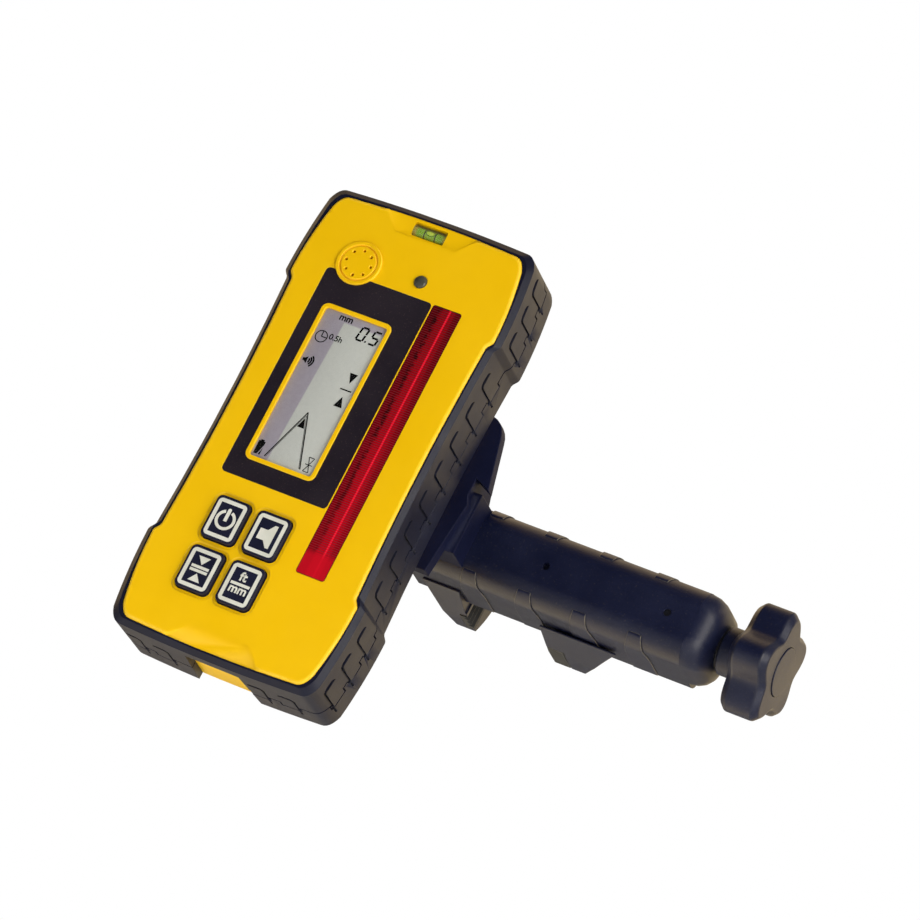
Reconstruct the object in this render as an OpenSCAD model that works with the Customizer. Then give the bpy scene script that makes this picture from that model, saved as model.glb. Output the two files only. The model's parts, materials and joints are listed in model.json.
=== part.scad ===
// Handheld laser receiver on a screw clamp for a levelling rod.
// X runs across the receiver towards the clamp knob, Y from the display to the rod, Z along the rod.
// Sizes inside the modules are taken from the middle of the receiver's front face.
// The whole part is then set so that the rod axis, midway between the clamp jaws, is the origin.

/* [Receiver shell] */
// Height of the housing at the middle of its bowed ends
body_h = 161.6; // [158:0.2:176]
// Width of the housing across its waist
waist_w = 73.4; // [71:0.2:82]
// How far the sides draw in at mid waist
waist_dip = 1.1; // [0:0.1:2]
// Length of the shoulders between the waist and each end
shoulder_l = 32.8; // [28:0.1:36]
// How far each shoulder stands out past the waist
shoulder_step = 1.7; // [1:0.1:3]
// How far each side draws in from the shoulder to the corner
end_taper = 2.7; // [2:0.1:6]
// Rise of the bowed ends
end_bow = 0.9; // [0.4:0.1:2]
// Length of the rounded corners
corner_len = 4.8; // [3:0.1:8]
// Depth of the front shell
front_d = 17; // [16:0.5:19]
// Thickness of the front face
face_t = 2; // [2:0.1:3]
// Thickness of the side and back walls
wall_t = 2.2; // [1.6:0.1:3]
// Depth of the sunk fields at both ends of the front face
field_d = 0.8; // [0.4:0.1:1]
// Width of the sunk fields at their inner edge
field_w = 23; // [20:0.5:30]
// Height of the sunk fields
field_h = 7.3; // [6.5:0.1:9]

/* [Bumper] */
// Thickness of the rubber bumper
bumper_t = 2.2; // [1.6:0.1:3]
// Setback of the bumper's front edge from the face
bumper_front = 0.6; // [0.5:0.1:2]
// Distance from the back of the housing to the bumper's rear edge
bumper_rear = 4; // [3:0.5:6]
// Gap of the line between the two bumper halves
bumper_gap = 0.6; // [0.3:0.1:1]
// Length of a grip tab along the edge
tab_w = 6.6; // [5:0.1:7.5]
// Step from tab to tab along the waist
tab_pitch = 11.1; // [10:0.1:11.5]
// How far a tab reaches over the line between the halves
tab_reach = 2.5; // [1.5:0.1:4]
// Depth of the bevel along the bumper's front edge
bumper_bevel = 1.5; // [1:0.1:3]
// Distance of a side tab's front edge from the face
tab_front = 7; // [6:0.1:9]
// Corner radius of a tab
tab_r = 2.4; // [1.6:0.1:3]
// Width of the groove at a tab's front edge
tab_groove = 1.5; // [0.8:0.1:2]
// Width of the line along a tab's lower edge
tab_line = 0.9; // [0.4:0.1:1.2]
// Depth of the tab grooves
groove_d = 0.7; // [0.4:0.1:1]
// Width of the cut-out in the bumper's lower end
notch_w = 20; // [16:0.5:24]
// Distance of the cut-out from the face
notch_front = 6.5; // [5:0.5:8]

/* [Display] */
// Width of the display window
window_w = 23.1; // [20:0.1:26]
// Distance from the upper end of the housing to the display mask and the sensor window
face_top = 26.2; // [24:0.1:28]
// Distance from the lower end of the housing to the display mask
face_low = 57.9; // [54:0.1:60]
// Thickness of the display window
window_t = 1.2; // [0.8:0.1:1.4]
// Width of the raised rim round the window
rim_w = 1.5; // [1:0.1:2]
// Rise of the rim over the face
rim_rise = 0.4; // [0.2:0.1:1]
// Width of the ledges that carry the windows
ledge_w = 0.8; // [0.5:0.1:1]
// Width of the black display mask
mask_w = 39.6; // [38:0.1:42]
// Thickness of the mask
mask_t = 0.6; // [0.4:0.1:0.8]
// Distance from the mask's left edge to the rim
mask_left = 5; // [4:0.1:6]
// Distance from the mask's lower edge to the rim
mask_low = 6.7; // [5:0.1:8]
// Distance from the mask's upper edge to the rim
mask_high = 11.8; // [10:0.1:14]
// Thickness of the liquid crystal panel
lcd_t = 2; // [1.5:0.1:3]

/* [Sensor] */
// Middle of the sensor window to the right of the middle of the face
sensor_x = 18.75; // [18:0.05:20]
// Distance from the lower end of the housing to the sensor window
sensor_low = 35.1; // [30:0.1:40]
// Width of the sensor window
sensor_w = 10.7; // [8:0.1:12]
// Thickness of the sensor window
sensor_t = 1.4; // [1:0.1:1.6]
// Thickness of the lens bar behind the window
lens_t = 3; // [2:0.1:3.4]
// Width of the wall between the mask and the sensor window
divider_w = 0.4; // [0.3:0.1:0.8]

/* [Keys] */
// Width of a key
key_w = 12.2; // [10:0.1:13]
// Height of a key
key_h = 15.2; // [13:0.1:16]
// Step between the two columns of keys
key_step_x = 15.3; // [14.8:0.1:17]
// Step between the two rows of keys
key_step_z = 18.4; // [17.6:0.1:19]
// Distance from the mask to the upper row of keys
key_below_mask = 7.8; // [6:0.1:9]
// How far a key stands out of the face
key_rise = 1.3; // [0.9:0.1:2]
// Corner radius of a key
key_r = 2; // [1:0.1:3]
// Distance that a key can be pressed
key_travel = 0.8; // [0.4:0.1:1]

/* [Face details] */
// Radius of the sounder's disc
sounder_r = 7.8; // [6:0.1:8.5]
// Middle of the sounder to the left of the middle of the face
sounder_left = 17.1; // [16:0.1:18]
// Distance from the upper end of the housing to the middle of the sounder
sounder_below = 21.8; // [20:0.1:24]
// Radius of the circle of sound holes
sound_ring_r = 4.57; // [4:0.01:5]
// Radius of a sound hole
sound_hole_r = 0.5; // [0.3:0.05:0.8]
// Radius of the ambient light sensor
eye_r = 2.2; // [1.5:0.1:2.6]
// Middle of the light sensor to the right of the middle of the face
eye_x = 5.5; // [3:0.1:8]
// Distance from the upper end of the housing to the middle of the light sensor
eye_below = 20.6; // [18:0.1:22]
// Radius of the level vial
vial_r = 2.5; // [2:0.1:2.6]
// Length of the level vial
vial_l = 16; // [14:0.5:18]
// Length of the vial that shows
vial_show = 12; // [10:0.5:13]
// Wall between the vial and the end of the housing
vial_roof = 1.1; // [0.9:0.1:3]

/* [Power and boards] */
// Diameter of a battery cell
cell_d = 14.2; // [13.5:0.1:14.5]
// Length of a battery cell with its tip
cell_l = 50.5; // [48:0.1:51]
// Thickness of the circuit boards
board_t = 1.6; // [1:0.1:2]
// Distance of the main board from the face
board_y = 8; // [7.6:0.1:9]
// Room for parts between the main board and the battery bay
board_room = 3.7; // [2:0.1:8]
// Radius of the housing screws
screw_r = 1.5; // [1.25:0.05:1.6]
// Radius of the screw bosses
boss_r = 3.2; // [3:0.1:3.6]
// Radius of the battery door's hinge pin
hinge_pin_r = 0.8; // [0.6:0.05:0.9]

/* [Clamp] */
// Height of the clamp arm
arm_h = 26.5; // [25:0.1:30]
// Depth of the clamp arm
arm_d = 30; // [28:0.5:36]
// Corner radius at the arm's front
arm_r = 8; // [5:0.5:10]
// Corner radius at the arm's back
arm_back_r = 4; // [3:0.5:5]
// Gap between the bracket plate and the front of the arm
arm_gap = 9.95; // [9.5:0.05:14]
// Left end of the arm, right of the middle of the face
arm_left = 22; // [20:0.5:24]
// Length of the arm's straight part
arm_l = 102.5; // [100:0.5:110]
// Length of the rounded end of the arm
dome_l = 7.5; // [6:0.5:10]
// Drop of the arm's middle under the middle of the face
arm_drop = 0.75; // [0:0.05:2]
// Radius of the arm's neck
neck_r = 8.5; // [8:0.1:10]
// Wall of the arm
arm_wall = 3; // [2.4:0.1:4]
// Gap between the jaws as photographed
rod_gap = 30; // [26:0.5:32]
// Clamping face of the fixed jaw, right of the middle of the face
jaw_x = 41; // [40:0.5:42]
// Thickness of the fixed jaw at its lips
jaw_t = 14.5; // [12:0.5:18]
// Thickness of the fixed jaw at its back
jaw_nose = 6.4; // [5:0.1:7.5]
// Height of the jaws
jaw_h = 34; // [33:0.5:40]
// How far the jaws reach behind the arm
jaw_reach = 20; // [18:0.5:24]
// How much less the jaws reach at their upper and lower ends
jaw_bow = 6; // [3:0.5:8]
// Length of the moving jaw along the arm
shoe_l = 28.5; // [27:0.5:30]
// Width of the moving jaw at its back
shoe_nose = 8.5; // [8:0.5:12]
// How far the lips of the jaws reach forward over the arm
lip_l = 13; // [10:0.5:16]
// Radius of the spindle
spindle_r = 4; // [3:0.1:4.5]

/* [Knob] */
// Radius of the knob over its lobes
knob_r = 19.6; // [17:0.1:22]
// Depth of the hollows between the lobes
knob_hollow = 5.2; // [3:0.1:6]
// Number of lobes
knob_lobes = 5; // [3:1:7]
// Thickness of the lobed part
knob_t = 14; // [11:0.5:18]
// Rounded edge of the lobed part
knob_edge = 2.2; // [1:0.1:3]
// Radius of the hub
hub_r = 8.25; // [7:0.05:9]
// Length of the hub
hub_l = 6.6; // [5:0.1:9]
// Radius of the end cap
cap_r = 8.3; // [6:0.1:9]

/* [Bracket] */
// Thickness of the bracket plate
plate_t = 5; // [4:0.5:7]
// Reach of the bracket plate to the left of the middle of the face
plate_left = 22; // [20:0.5:28]
// Height of the bracket plate over the middle of the face
plate_top = 36.5; // [32:0.5:38]
// Depth of the bracket plate under the middle of the face
plate_low = 16; // [14:0.5:16.5]
// Radius of the mounting thread
mount_r = 3.175; // [2.5:0.005:3.5]
// Radius of the mounting thumb screw's head
thumb_r = 10; // [8:0.1:11]

/* [Hidden] */
$fn = 48;

// Overrun of every cut, clearance of fixed fits, of sliding faces and of turning shafts
over = 1;
fit = 0.05;
slide = 0.3;
run = 0.06;

// Receiver outline: steps along each curved stretch
side_steps = 8;
corner_steps = 6;
end_steps = 5;
notch_steps = 4;
waist_steps = 6;
notch_len = 3;
shoulder_x = waist_w / 2 + shoulder_step;
// Tilt of the side where the corner starts
corner_lean_share = 0.35;
// How much more the outline grows outwards at the corners and at the ends than along the waist
corner_growth_share = 0.3;
end_growth_share = 0.1;

// Bumper tabs
waist_h = body_h - 2 * shoulder_l;
waist_tabs = floor((waist_h - tab_w) / tab_pitch);
shoulder_tabs = 3;
shoulder_tab_in = 7;
shoulder_tab_step = 9.8;
end_tab_places = [-32, -21.3, 14.5, 25.7];
end_tab_in = 3.5;
bevel_share = 0.8;
rear_line_l = 6;
notch_slope = 2;
rear_taper = 2.6;

// Places on the front face
mask_x = sensor_x - sensor_w / 2 - divider_w - mask_w / 2;
mask_h = body_h - face_top - face_low;
mask_z = body_h / 2 - face_top - mask_h / 2;
window_h = mask_h - mask_low - mask_high - 2 * rim_w;
mask_r = 1.5;
rim_r = 2.5;
display_x = mask_x - mask_w / 2 + mask_left + rim_w + window_w / 2;
display_z = mask_z - mask_h / 2 + mask_low + rim_w + window_h / 2;
window_r = 1;
sensor_h = body_h - face_top - sensor_low;
sensor_z = body_h / 2 - face_top - sensor_h / 2;
lens_w = sensor_w - 2 * ledge_w - 2 * fit;
lens_rib_r = 1;
key_z = mask_z - mask_h / 2 - key_below_mask - key_h / 2;
key_flange = 1;
key_flange_t = 1;
key_back = face_t + slide + key_flange_t;
plunger_y = key_back + key_travel + slide;
switch_w = 6;
switch_l = 2.6;
plunger_r = 1.7;
key_pocket_w = 1.3;
key_pocket_d = 0.35;
sounder_z = body_h / 2 - sounder_below;
sounder_rise = 0.6;
sounder_groove_r = 6.3;
sounder_groove_w = 0.6;
sound_holes = 8;
sounder_body_r = 6.2;
eye_z = body_h / 2 - eye_below;
eye_flange_r = 3;
vial_wall = 0.7;
vial_z = body_h / 2 - vial_roof - vial_r;
vial_y = field_d + vial_r + fit;
vial_back = vial_y + vial_r + wall_t;
vial_stop = 1.5;

// Housing screws, boards and the battery bay
boss_side_gap = 1.3;
boss_end_gap = 3.7;
boss_x = waist_w / 2 - wall_t - boss_r - boss_side_gap;
boss_z = body_h / 2 - end_bow - corner_len - wall_t - boss_r - boss_end_gap;
screw_head_r = 2.6;
screw_head_t = 2;
screw_head_in = 5;
screw_tip_in = 1.5;
screw_head_y = front_d + screw_head_in;
screw_tip_y = face_t + screw_tip_in;
board_inset = 0.8;
tray_t = 1.2;
bay_gap = 0.5;
contact_room = 2.4;
contact_t = 0.5;
contact_w = cell_d - 2 * slide - 2 * contact_t;
bay_w = 2 * cell_d + 3 * bay_gap;
bay_h = cell_l + 2 * contact_room;
bay_end_gap = 2.4;
bay_low = -body_h / 2 + wall_t + bay_end_gap;
bay_top = bay_low + bay_h;
back_t = 2;
body_d = board_y + board_t + board_room + tray_t + 2 * bay_gap + cell_d + slide + back_t;
bumper_back = body_d - bumper_rear;
cell_y = body_d - back_t - slide - bay_gap - cell_d / 2;
bay_front = cell_y - cell_d / 2 - bay_gap;
tip_r = 2.75;
tip_l = 1.3;
door_lap = 1;
door_w = bay_w + 2 * door_lap;
door_y = body_d - back_t + slide;
knuckle_r = 1.6;
hinge_y = body_d - knuckle_r;
hinge_z = bay_top + door_lap;
door_low = bay_low - door_lap;
trough_r = knuckle_r + slide + tray_t;
ear_l = 3;
finger_r = 5;

// Mounting thread, thumb screw and locating pins
insert_r = 4.6;
insert_l = 8;
insert_boss_r = 6.4;
thumb_flute = 0.5;
thumb_flutes = 16;
thumb_l = 10;
thumb_neck = 0.4;
pin_r = 2;
pin_x = 14;
pin_sink = 3;

// Clamp
plate_y = body_d + fit;
plate_back = plate_y + plate_t;
arm_front = plate_back + arm_gap;
arm_back = arm_front + arm_d;
arm_y = arm_front + arm_d / 2;
axis_in = 2;
axis_y = arm_y + axis_in;
arm_right = arm_left + arm_l;
dome_right = arm_right + dome_l;
cavity_h = 16;
left_block = 8;
right_block = 8;
cavity_left = arm_left + left_block;
cavity_right = arm_right - right_block;
cover_t = 3;
cover_h = arm_h - 2 * arm_back_r - 2 * fit;
cover_in = 1.5;
cover_screw_places = [cavity_left - arm_wall, cavity_right + (right_block - cover_in) / 2];
slot_h = 8;
grip_t = 0.4;
grips = 4;
grip_in = 1.2;
grip_end = 1.9;
grip_step = (arm_right - jaw_x - grip_end) / grips;
grip_w = 9;
grip_tip_w = 4.8;
grip_tip_in = 1.4;
grip_wide_in = 13;
grip_tip_y = arm_front + grip_tip_in;
grip_wide_y = arm_front + grip_wide_in;
grip_first = jaw_x + grip_in + grip_w / 2;
pin_hole_r = 1.3;
pin_hole_d = 2;
hole_share = 0.3545;
hole_end = 9.3;
hole_places = [mixed(jaw_x, arm_right, hole_share), arm_right - hole_end];
shoe_x = jaw_x + rod_gap;
lip_gap = 0.9;
lip_t = 0.8;
lip_back = 0.6;
jaw_slope = 4;
lip_front = arm_back - lip_l;
shoe_steps = 8;
bow_steps = 8;
pad_t = 6.5;
pad_lap = 1;
tooth_pitch = 3;
tooth_d = 1.5;
tooth_pad_t = 3;
tooth_margin = 2;
tooth_back = arm_back + jaw_reach - jaw_bow - tooth_margin;
nose_r = 2.5;
sweep_share = 0.45;
nut_l = 16;
nut_in = 6;
nut_x = shoe_x + nut_in;
nut_d = 15;
nut_room = 5.5;
travel = cavity_right - nut_room - nut_x - nut_l;
neck_in = 2;
neck_l = nut_l - 2 * neck_in;
neck_h = slot_h - 2 * slide;
jaw_screw_r = 1.25;
jaw_screw_head_r = 2.3;
jaw_screw_head_t = 1.6;
jaw_screw_step = 7;
jaw_screw_l = arm_back - axis_y - spindle_r - cover_in;
bush_r = 6.5;
washer_r = 7.4;
washer_t = 0.8;
ring_r = 6;
ring_t = 1.6;
hub_x = dome_right + washer_t + 3 * run;
lobe_x = hub_x + hub_l;
knob_right = lobe_x + knob_t;
cap_t = 2;
cap_rise = 0.3;
knob_steps = 120;
knob_phase = 8;
dome_shares = [0, 0.35, 0.65, 0.87, 1];
gusset_l = 11;
gusset_in = 6;
gusset_low = 4;
pedestal_l = 22;
pedestal_h = 22;
pedestal_in = 4;
plate_r = 7;
hook_out = 5.7;
hook_in = 1.4;
hook_z = 11.7;
hook_h = 7;
hook_lean = 2.7;
foot_drop = 5;
foot_l = 12;

// Rod axis, midway between the jaws
rod_in = 6.5;
rod_x = jaw_x + rod_gap / 2;
rod_y = arm_back + rod_in;

// Shape helpers
function mixed(a, b, t) = a + (b - a) * t;
function eased(t) = t * t * (3 - 2 * t);
function bent(a, b, c, t) = mixed(mixed(a, b, t), mixed(b, c, t), t);
function flipped(points, sx, sz) = [for (p = points) [sx * p[0], sz * p[1]]];
function reversed(points) = [for (i = [len(points) - 1 : -1 : 0]) points[i]];

// One quarter of the receiver's outline, grown by g, from the waist up to the middle of the end
function quarter(g) =
    let (
        step_z = waist_h / 2,
        side_z = step_z + notch_len / 2,
        low_z = step_z - notch_len / 2,
        taper = end_taper - max(g, 0) * corner_growth_share,
        end_z = body_h / 2 + g + max(g, 0) * end_growth_share,
        corner_z = end_z - end_bow - corner_len,
        corner_x = shoulder_x + g - taper,
        end_x = corner_x - corner_len
    )
    concat(
        [for (i = [1 : waist_steps - 1])
            [waist_w / 2 + g - waist_dip * (1 - pow(i / waist_steps, 2)), low_z * i / waist_steps]],
        [for (i = [0 : notch_steps])
            [mixed(waist_w / 2, shoulder_x, eased(i / notch_steps)) + g,
                step_z + notch_len * (i / notch_steps - 1 / 2)]],
        [for (i = [1 : side_steps])
            [shoulder_x + g - taper * pow(i / side_steps, 2),
                mixed(side_z, corner_z, i / side_steps)]],
        [for (i = [1 : corner_steps])
            bent([corner_x, corner_z],
                [corner_x - corner_len * corner_lean_share, end_z - end_bow],
                [end_x, end_z - end_bow], i / corner_steps)],
        [for (i = [1 : end_steps - 1])
            [end_x * (1 - i / end_steps), end_z - end_bow * pow(1 - i / end_steps, 2)]]
    );

function outline(g) =
    let (q = quarter(g))
    concat(q, reversed(flipped(q, -1, 1)), flipped(q, -1, -1), reversed(flipped(q, 1, -1)));

function lobed(r, hollow, lobes, steps, phase = 0) =
    [for (i = [0 : steps - 1])
        let (a = 360 * i / steps, at = r - hollow * (1 - cos(lobes * (a + phase))) / 2)
            at * [cos(a), sin(a)]];

module placed() {
    translate([-rod_x, -rod_y, 0]) children();
}

// The same for the pieces of the clamp, which sits a little lower
module clamped() {
    placed() translate([0, 0, -arm_drop]) children();
}

// Extrudes a drawing in X and Z from the depth y0 to the depth y1
module deep(y0, y1) {
    translate([0, y1, 0]) rotate([90, 0, 0]) linear_extrude(y1 - y0) children();
}

// Extrudes a drawing in X and Z that shrinks by draw towards y1
module drawn_in(y0, y1, draw) {
    translate([0, y0, 0]) rotate([-90, 0, 0])
        linear_extrude(y1 - y0, scale = [1 - draw / shoulder_x, 1 - 2 * draw / body_h], slices = 1)
            mirror([0, 1]) children();
}

// Extrudes a drawing in X and Z that shrinks by draw from y1 towards y0
module drawn_out(y0, y1, draw) {
    translate([0, y1, 0]) mirror([0, 1, 0]) drawn_in(0, y1 - y0, draw) children();
}

// Extrudes a drawing in Y and Z from x0 to x1
module across(x0, x1) {
    translate([x0, 0, 0]) rotate([90, 0, 90]) linear_extrude(x1 - x0) children();
}

// Round bar along Y, and along X
module bar_y(r, x, z, y0, y1) {
    translate([x, y1, z]) rotate([90, 0, 0]) cylinder(r = r, h = y1 - y0);
}

module bar_x(r, y, z, x0, x1) {
    translate([x0, y, z]) rotate([0, 90, 0]) cylinder(r = r, h = x1 - x0);
}

module box(x0, x1, y0, y1, z0, z1) {
    translate([x0, y0, z0]) cube([x1 - x0, y1 - y0, z1 - z0]);
}

module rounded(w, h, r) {
    square([w - 2 * r, h], center = true);
    square([w, h - 2 * r], center = true);
    for (sx = [-1, 1], sz = [-1, 1])
        translate([sx * (w / 2 - r), sz * (h / 2 - r)]) circle(r);
}

module at(x, z) {
    translate([x, z]) children();
}

module corner_places() {
    for (sx = [-1, 1], sz = [-1, 1]) translate([sx * boss_x, 0, sz * boss_z]) children();
}

waist_places = [for (i = [0 : waist_tabs - 1]) (i - (waist_tabs - 1) / 2) * tab_pitch];
shoulder_places = [for (i = [0 : shoulder_tabs - 1])
    waist_h / 2 + shoulder_tab_in + i * shoulder_tab_step];
side_tab_places = concat(waist_places, shoulder_places, -shoulder_places);

// Slabs through the receiver at every grip tab
module tab_slabs(y0, y1, half) {
    reach = body_h;
    for (z = side_tab_places) box(-reach, reach, y0, y1, z - half, z + half);
    for (x = end_tab_places) box(x - half, x + half, y0, y1, -reach, reach);
}

// Line round a tab, in depth and along the edge: wide in front, narrow underneath, open above
module tab_drawing(front, back) {
    l = back - front;
    $fn = 4 * corner_steps;
    intersection() {
        difference() {
            translate([back, 0]) rounded(2 * l, tab_w, tab_r);
            translate([back + tab_groove, (tab_w + tab_line) / 2])
                rounded(2 * l, 2 * tab_w - tab_line, tab_r - tab_line);
        }
        translate([0, -tab_w]) square([back, 2 * tab_w]);
    }
}

// Cuts of the lines round all tabs, down to the groove's depth
module tab_lines() {
    reach = body_h;
    back = front_d + rear_line_l;
    intersection() {
        bumper_ring(bumper_front, bumper_back, bumper_t - groove_d, bumper_t + over);
        union() {
            for (z = side_tab_places)
                across(-reach, reach) translate([0, z]) tab_drawing(tab_front, back);
            for (x = end_tab_places)
                translate([x, 0, -reach]) linear_extrude(2 * reach) rotate(90)
                    tab_drawing(tab_front + end_tab_in, back);
        }
    }
}

module bumper_ring(y0, y1, inner, outer) {
    difference() {
        deep(y0, y1) polygon(outline(outer));
        deep(y0 - over, y1 + over) polygon(outline(inner));
    }
}

module bumper_notch() {
    low = -body_h / 2 - bumper_t - over;
    translate([0, 0, low]) linear_extrude(body_h / 4)
        polygon([[-notch_w / 2, notch_front], [notch_w / 2, notch_front],
            [notch_w / 2 + notch_slope, body_d], [-notch_w / 2 - notch_slope, body_d]]);
}

module front_bumper() placed() color("#14161f") difference() {
    bevel_back = bumper_front + bumper_bevel;
    union() {
        drawn_out(bumper_front, bevel_back, bumper_t * bevel_share) polygon(outline(bumper_t));
        deep(bevel_back, front_d) polygon(outline(bumper_t));
        intersection() {
            deep(front_d - over, front_d + tab_reach) polygon(outline(bumper_t));
            tab_slabs(front_d - over, front_d + tab_reach, tab_w / 2);
        }
    }
    deep(0, front_d + tab_reach + over) polygon(outline(0));
    tab_lines();
    bumper_notch();
}

module rear_bumper() placed() color("#14161f") difference() {
    bumper_ring(front_d + bumper_gap, bumper_back, 0, bumper_t);
    tab_slabs(front_d, front_d + tab_reach + bumper_gap, tab_w / 2 + bumper_gap);
    tab_lines();
    bumper_notch();
}

// Drawing of the sunk field at the upper end of the face
module end_field() {
    polygon([[-field_w / 2, body_h / 2 - field_h], [field_w / 2, body_h / 2 - field_h],
        [field_w / 2 + field_h, body_h / 2 + over], [-field_w / 2 - field_h, body_h / 2 + over]]);
}

module front_housing() placed() color("#f5c500") difference() {
    union() {
        difference() {
            deep(0, front_d) polygon(outline(0));
            deep(face_t, front_d + over) polygon(outline(-wall_t));
            deep(-over, field_d) end_field();
            deep(-over, field_d) mirror([0, 1]) end_field();
        }
        deep(-rim_rise, face_t) at(display_x, display_z)
            rounded(window_w + 2 * rim_w, window_h + 2 * rim_w, rim_r);
        bar_y(sounder_r, -sounder_left, sounder_z, -sounder_rise, face_t);
        box(-vial_l / 2 - vial_stop, vial_l / 2 + vial_stop, field_d, vial_back,
            vial_z - vial_r - vial_stop, body_h / 2 - end_bow - wall_t / 2);
        corner_places() bar_y(boss_r, 0, 0, face_t / 2, board_y);
    }
    mask_pocket();
    window_pocket(display_x, display_z, window_w, window_h, window_r, window_t);
    window_pocket(sensor_x, sensor_z, sensor_w, sensor_h, window_r, sensor_t);
    for (col = [0, 1], row = [0, 1]) {
        deep(-over, key_pocket_d) at(key_place(col), key_z - row * key_step_z)
            rounded(key_w + 2 * key_pocket_w, key_h + 2 * key_pocket_w, key_r + key_pocket_w);
        deep(-over, face_t + over) at(key_place(col), key_z - row * key_step_z)
            rounded(key_w + 2 * slide, key_h + 2 * slide, key_r + slide);
    }
    sound_cuts();
    bar_y(eye_r + fit, eye_x, eye_z, -over, face_t + over);
    bar_x(vial_r + fit, vial_y, vial_z, -vial_l / 2 - fit, vial_l / 2 + fit);
    box(-vial_l / 2 - fit, vial_l / 2 + fit, vial_y, vial_back + over,
        vial_z - vial_r - fit, vial_z + vial_r + fit);
    box(-vial_show / 2, vial_show / 2, 0, vial_y, vial_z - vial_r, vial_z + vial_r);
    corner_places() bar_y(screw_r + fit, 0, 0, screw_tip_y - fit, board_y + over);
}

function key_place(col) = display_x + (col - 1 / 2) * key_step_x;

module mask_shape(gap) {
    difference() {
        at(mask_x, mask_z) rounded(mask_w + 2 * gap, mask_h + 2 * gap, mask_r);
        at(display_x, display_z)
            rounded(window_w + 2 * rim_w - 2 * gap, window_h + 2 * rim_w - 2 * gap, rim_r);
        at(-sounder_left, sounder_z) circle(sounder_r - gap);
    }
}

module mask_pocket() {
    deep(-rim_rise - sounder_rise, mask_t) mask_shape(0);
}

module window_pocket(x, z, w, h, r, t) {
    deep(-rim_rise - over, t) at(x, z) rounded(w, h, r);
    deep(-over, face_t + over) at(x, z) rounded(w - 2 * ledge_w, h - 2 * ledge_w, r);
}

module sound_cuts() {
    groove_r = sounder_groove_r;
    difference() {
        bar_y(groove_r + sounder_groove_w / 2, -sounder_left, sounder_z, -sounder_rise - over, 0);
        bar_y(groove_r - sounder_groove_w / 2, -sounder_left, sounder_z, -sounder_rise - over, 0);
    }
    for (i = [0 : sound_holes - 1])
        let (a = 360 * i / sound_holes)
            bar_y(sound_hole_r, -sounder_left + sound_ring_r * cos(a), sounder_z + sound_ring_r * sin(a),
                -sounder_rise - over, face_t + over);
}

module rear_housing() placed() color("#f0bf00") difference() {
    union() {
        difference() {
            union() {
                deep(front_d + fit, bumper_back) polygon(outline(0));
                drawn_in(bumper_back, body_d, rear_taper) polygon(outline(0));
            }
            deep(front_d - over, body_d - back_t) polygon(outline(-wall_t - rear_taper));
            deep(front_d - over, bumper_back - wall_t) polygon(outline(-wall_t));
        }
        box(-bay_w / 2 - tray_t, bay_w / 2 + tray_t, bay_front - tray_t, body_d - back_t,
            bay_low - tray_t, bay_top + tray_t);
        corner_places() bar_y(boss_r, 0, 0, board_y + board_t + fit, body_d - back_t);
        bar_y(insert_boss_r, 0, 0, body_d - insert_l - wall_t, body_d - back_t);
        for (s = [-1, 1]) bar_y(pin_r + wall_t, s * pin_x, 0, body_d - pin_sink - wall_t, body_d - back_t);
        box(-door_w / 2 - ear_l, door_w / 2 + ear_l, hinge_y - trough_r, body_d - back_t,
            hinge_z - trough_r, hinge_z + trough_r);
    }
    box(-bay_w / 2, bay_w / 2, bay_front, body_d + over, bay_low, bay_top);
    box(-door_w / 2 - slide, door_w / 2 + slide, door_y - slide, body_d + over,
        door_low - slide, hinge_z);
    bar_x(knuckle_r + slide, hinge_y, hinge_z, -door_w / 2 - slide, door_w / 2 + slide);
    box(-door_w / 2 - slide, door_w / 2 + slide, hinge_y, body_d + over,
        hinge_z - over, hinge_z + knuckle_r + slide);
    bar_x(hinge_pin_r + fit, hinge_y, hinge_z, -door_w / 2 - ear_l, door_w / 2 + ear_l);
    corner_places() {
        bar_y(screw_r + fit, 0, 0, board_y, body_d);
        bar_y(screw_head_r + fit, 0, 0, screw_head_y - fit, body_d + over);
    }
    bar_y(insert_r, 0, 0, body_d - insert_l, body_d + over);
    for (s = [-1, 1]) bar_y(pin_r + fit, s * pin_x, 0, body_d - pin_sink, body_d + over);
}

module display_mask() placed() color("#211a22") {
    deep(0, mask_t) mask_shape(-fit);
}

module display_window() placed() color("#c4c8c4", 0.4) {
    deep(0, window_t) at(display_x, display_z)
        rounded(window_w - 2 * fit, window_h - 2 * fit, window_r - fit);
}

module lcd_panel() placed() color("#b4b8b4") {
    deep(face_t + fit, face_t + fit + lcd_t) at(display_x, display_z) rounded(window_w, window_h, window_r);
}

module sensor_window() placed() color("#7a1018", 0.8) {
    deep(0, sensor_t) at(sensor_x, sensor_z)
        rounded(sensor_w - 2 * fit, sensor_h - 2 * fit, window_r - fit);
}

// Lens bar with a half round rib along its middle
module sensor_lens() placed() color("#a01420") {
    lens_h = sensor_h - 2 * ledge_w - 2 * fit;
    back_y = face_t + fit + lens_t;
    union() {
        box(sensor_x - lens_w / 2, sensor_x + lens_w / 2, face_t + fit, back_y,
            sensor_z - lens_h / 2, sensor_z + lens_h / 2);
        intersection() {
            translate([sensor_x, face_t + fit, sensor_z - lens_h / 2]) cylinder(r = lens_rib_r, h = lens_h);
            box(sensor_x - lens_w / 2, sensor_x + lens_w / 2, sensor_t + fit, back_y,
                sensor_z - lens_h / 2, sensor_z + lens_h / 2);
        }
    }
}

module sensor_board() placed() color("#1d5c38") {
    y = face_t + fit + lens_t + fit;
    box(sensor_x - sensor_w / 2, sensor_x + sensor_w / 2, y, y + board_t,
        sensor_z - sensor_h / 2, sensor_z + sensor_h / 2);
}

module main_board() placed() color("#1d5c38") difference() {
    deep(board_y + fit, board_y + board_t) polygon(outline(-wall_t - board_inset));
    corner_places() bar_y(screw_r + fit, 0, 0, board_y - over, board_y + board_t + over);
}

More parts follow.
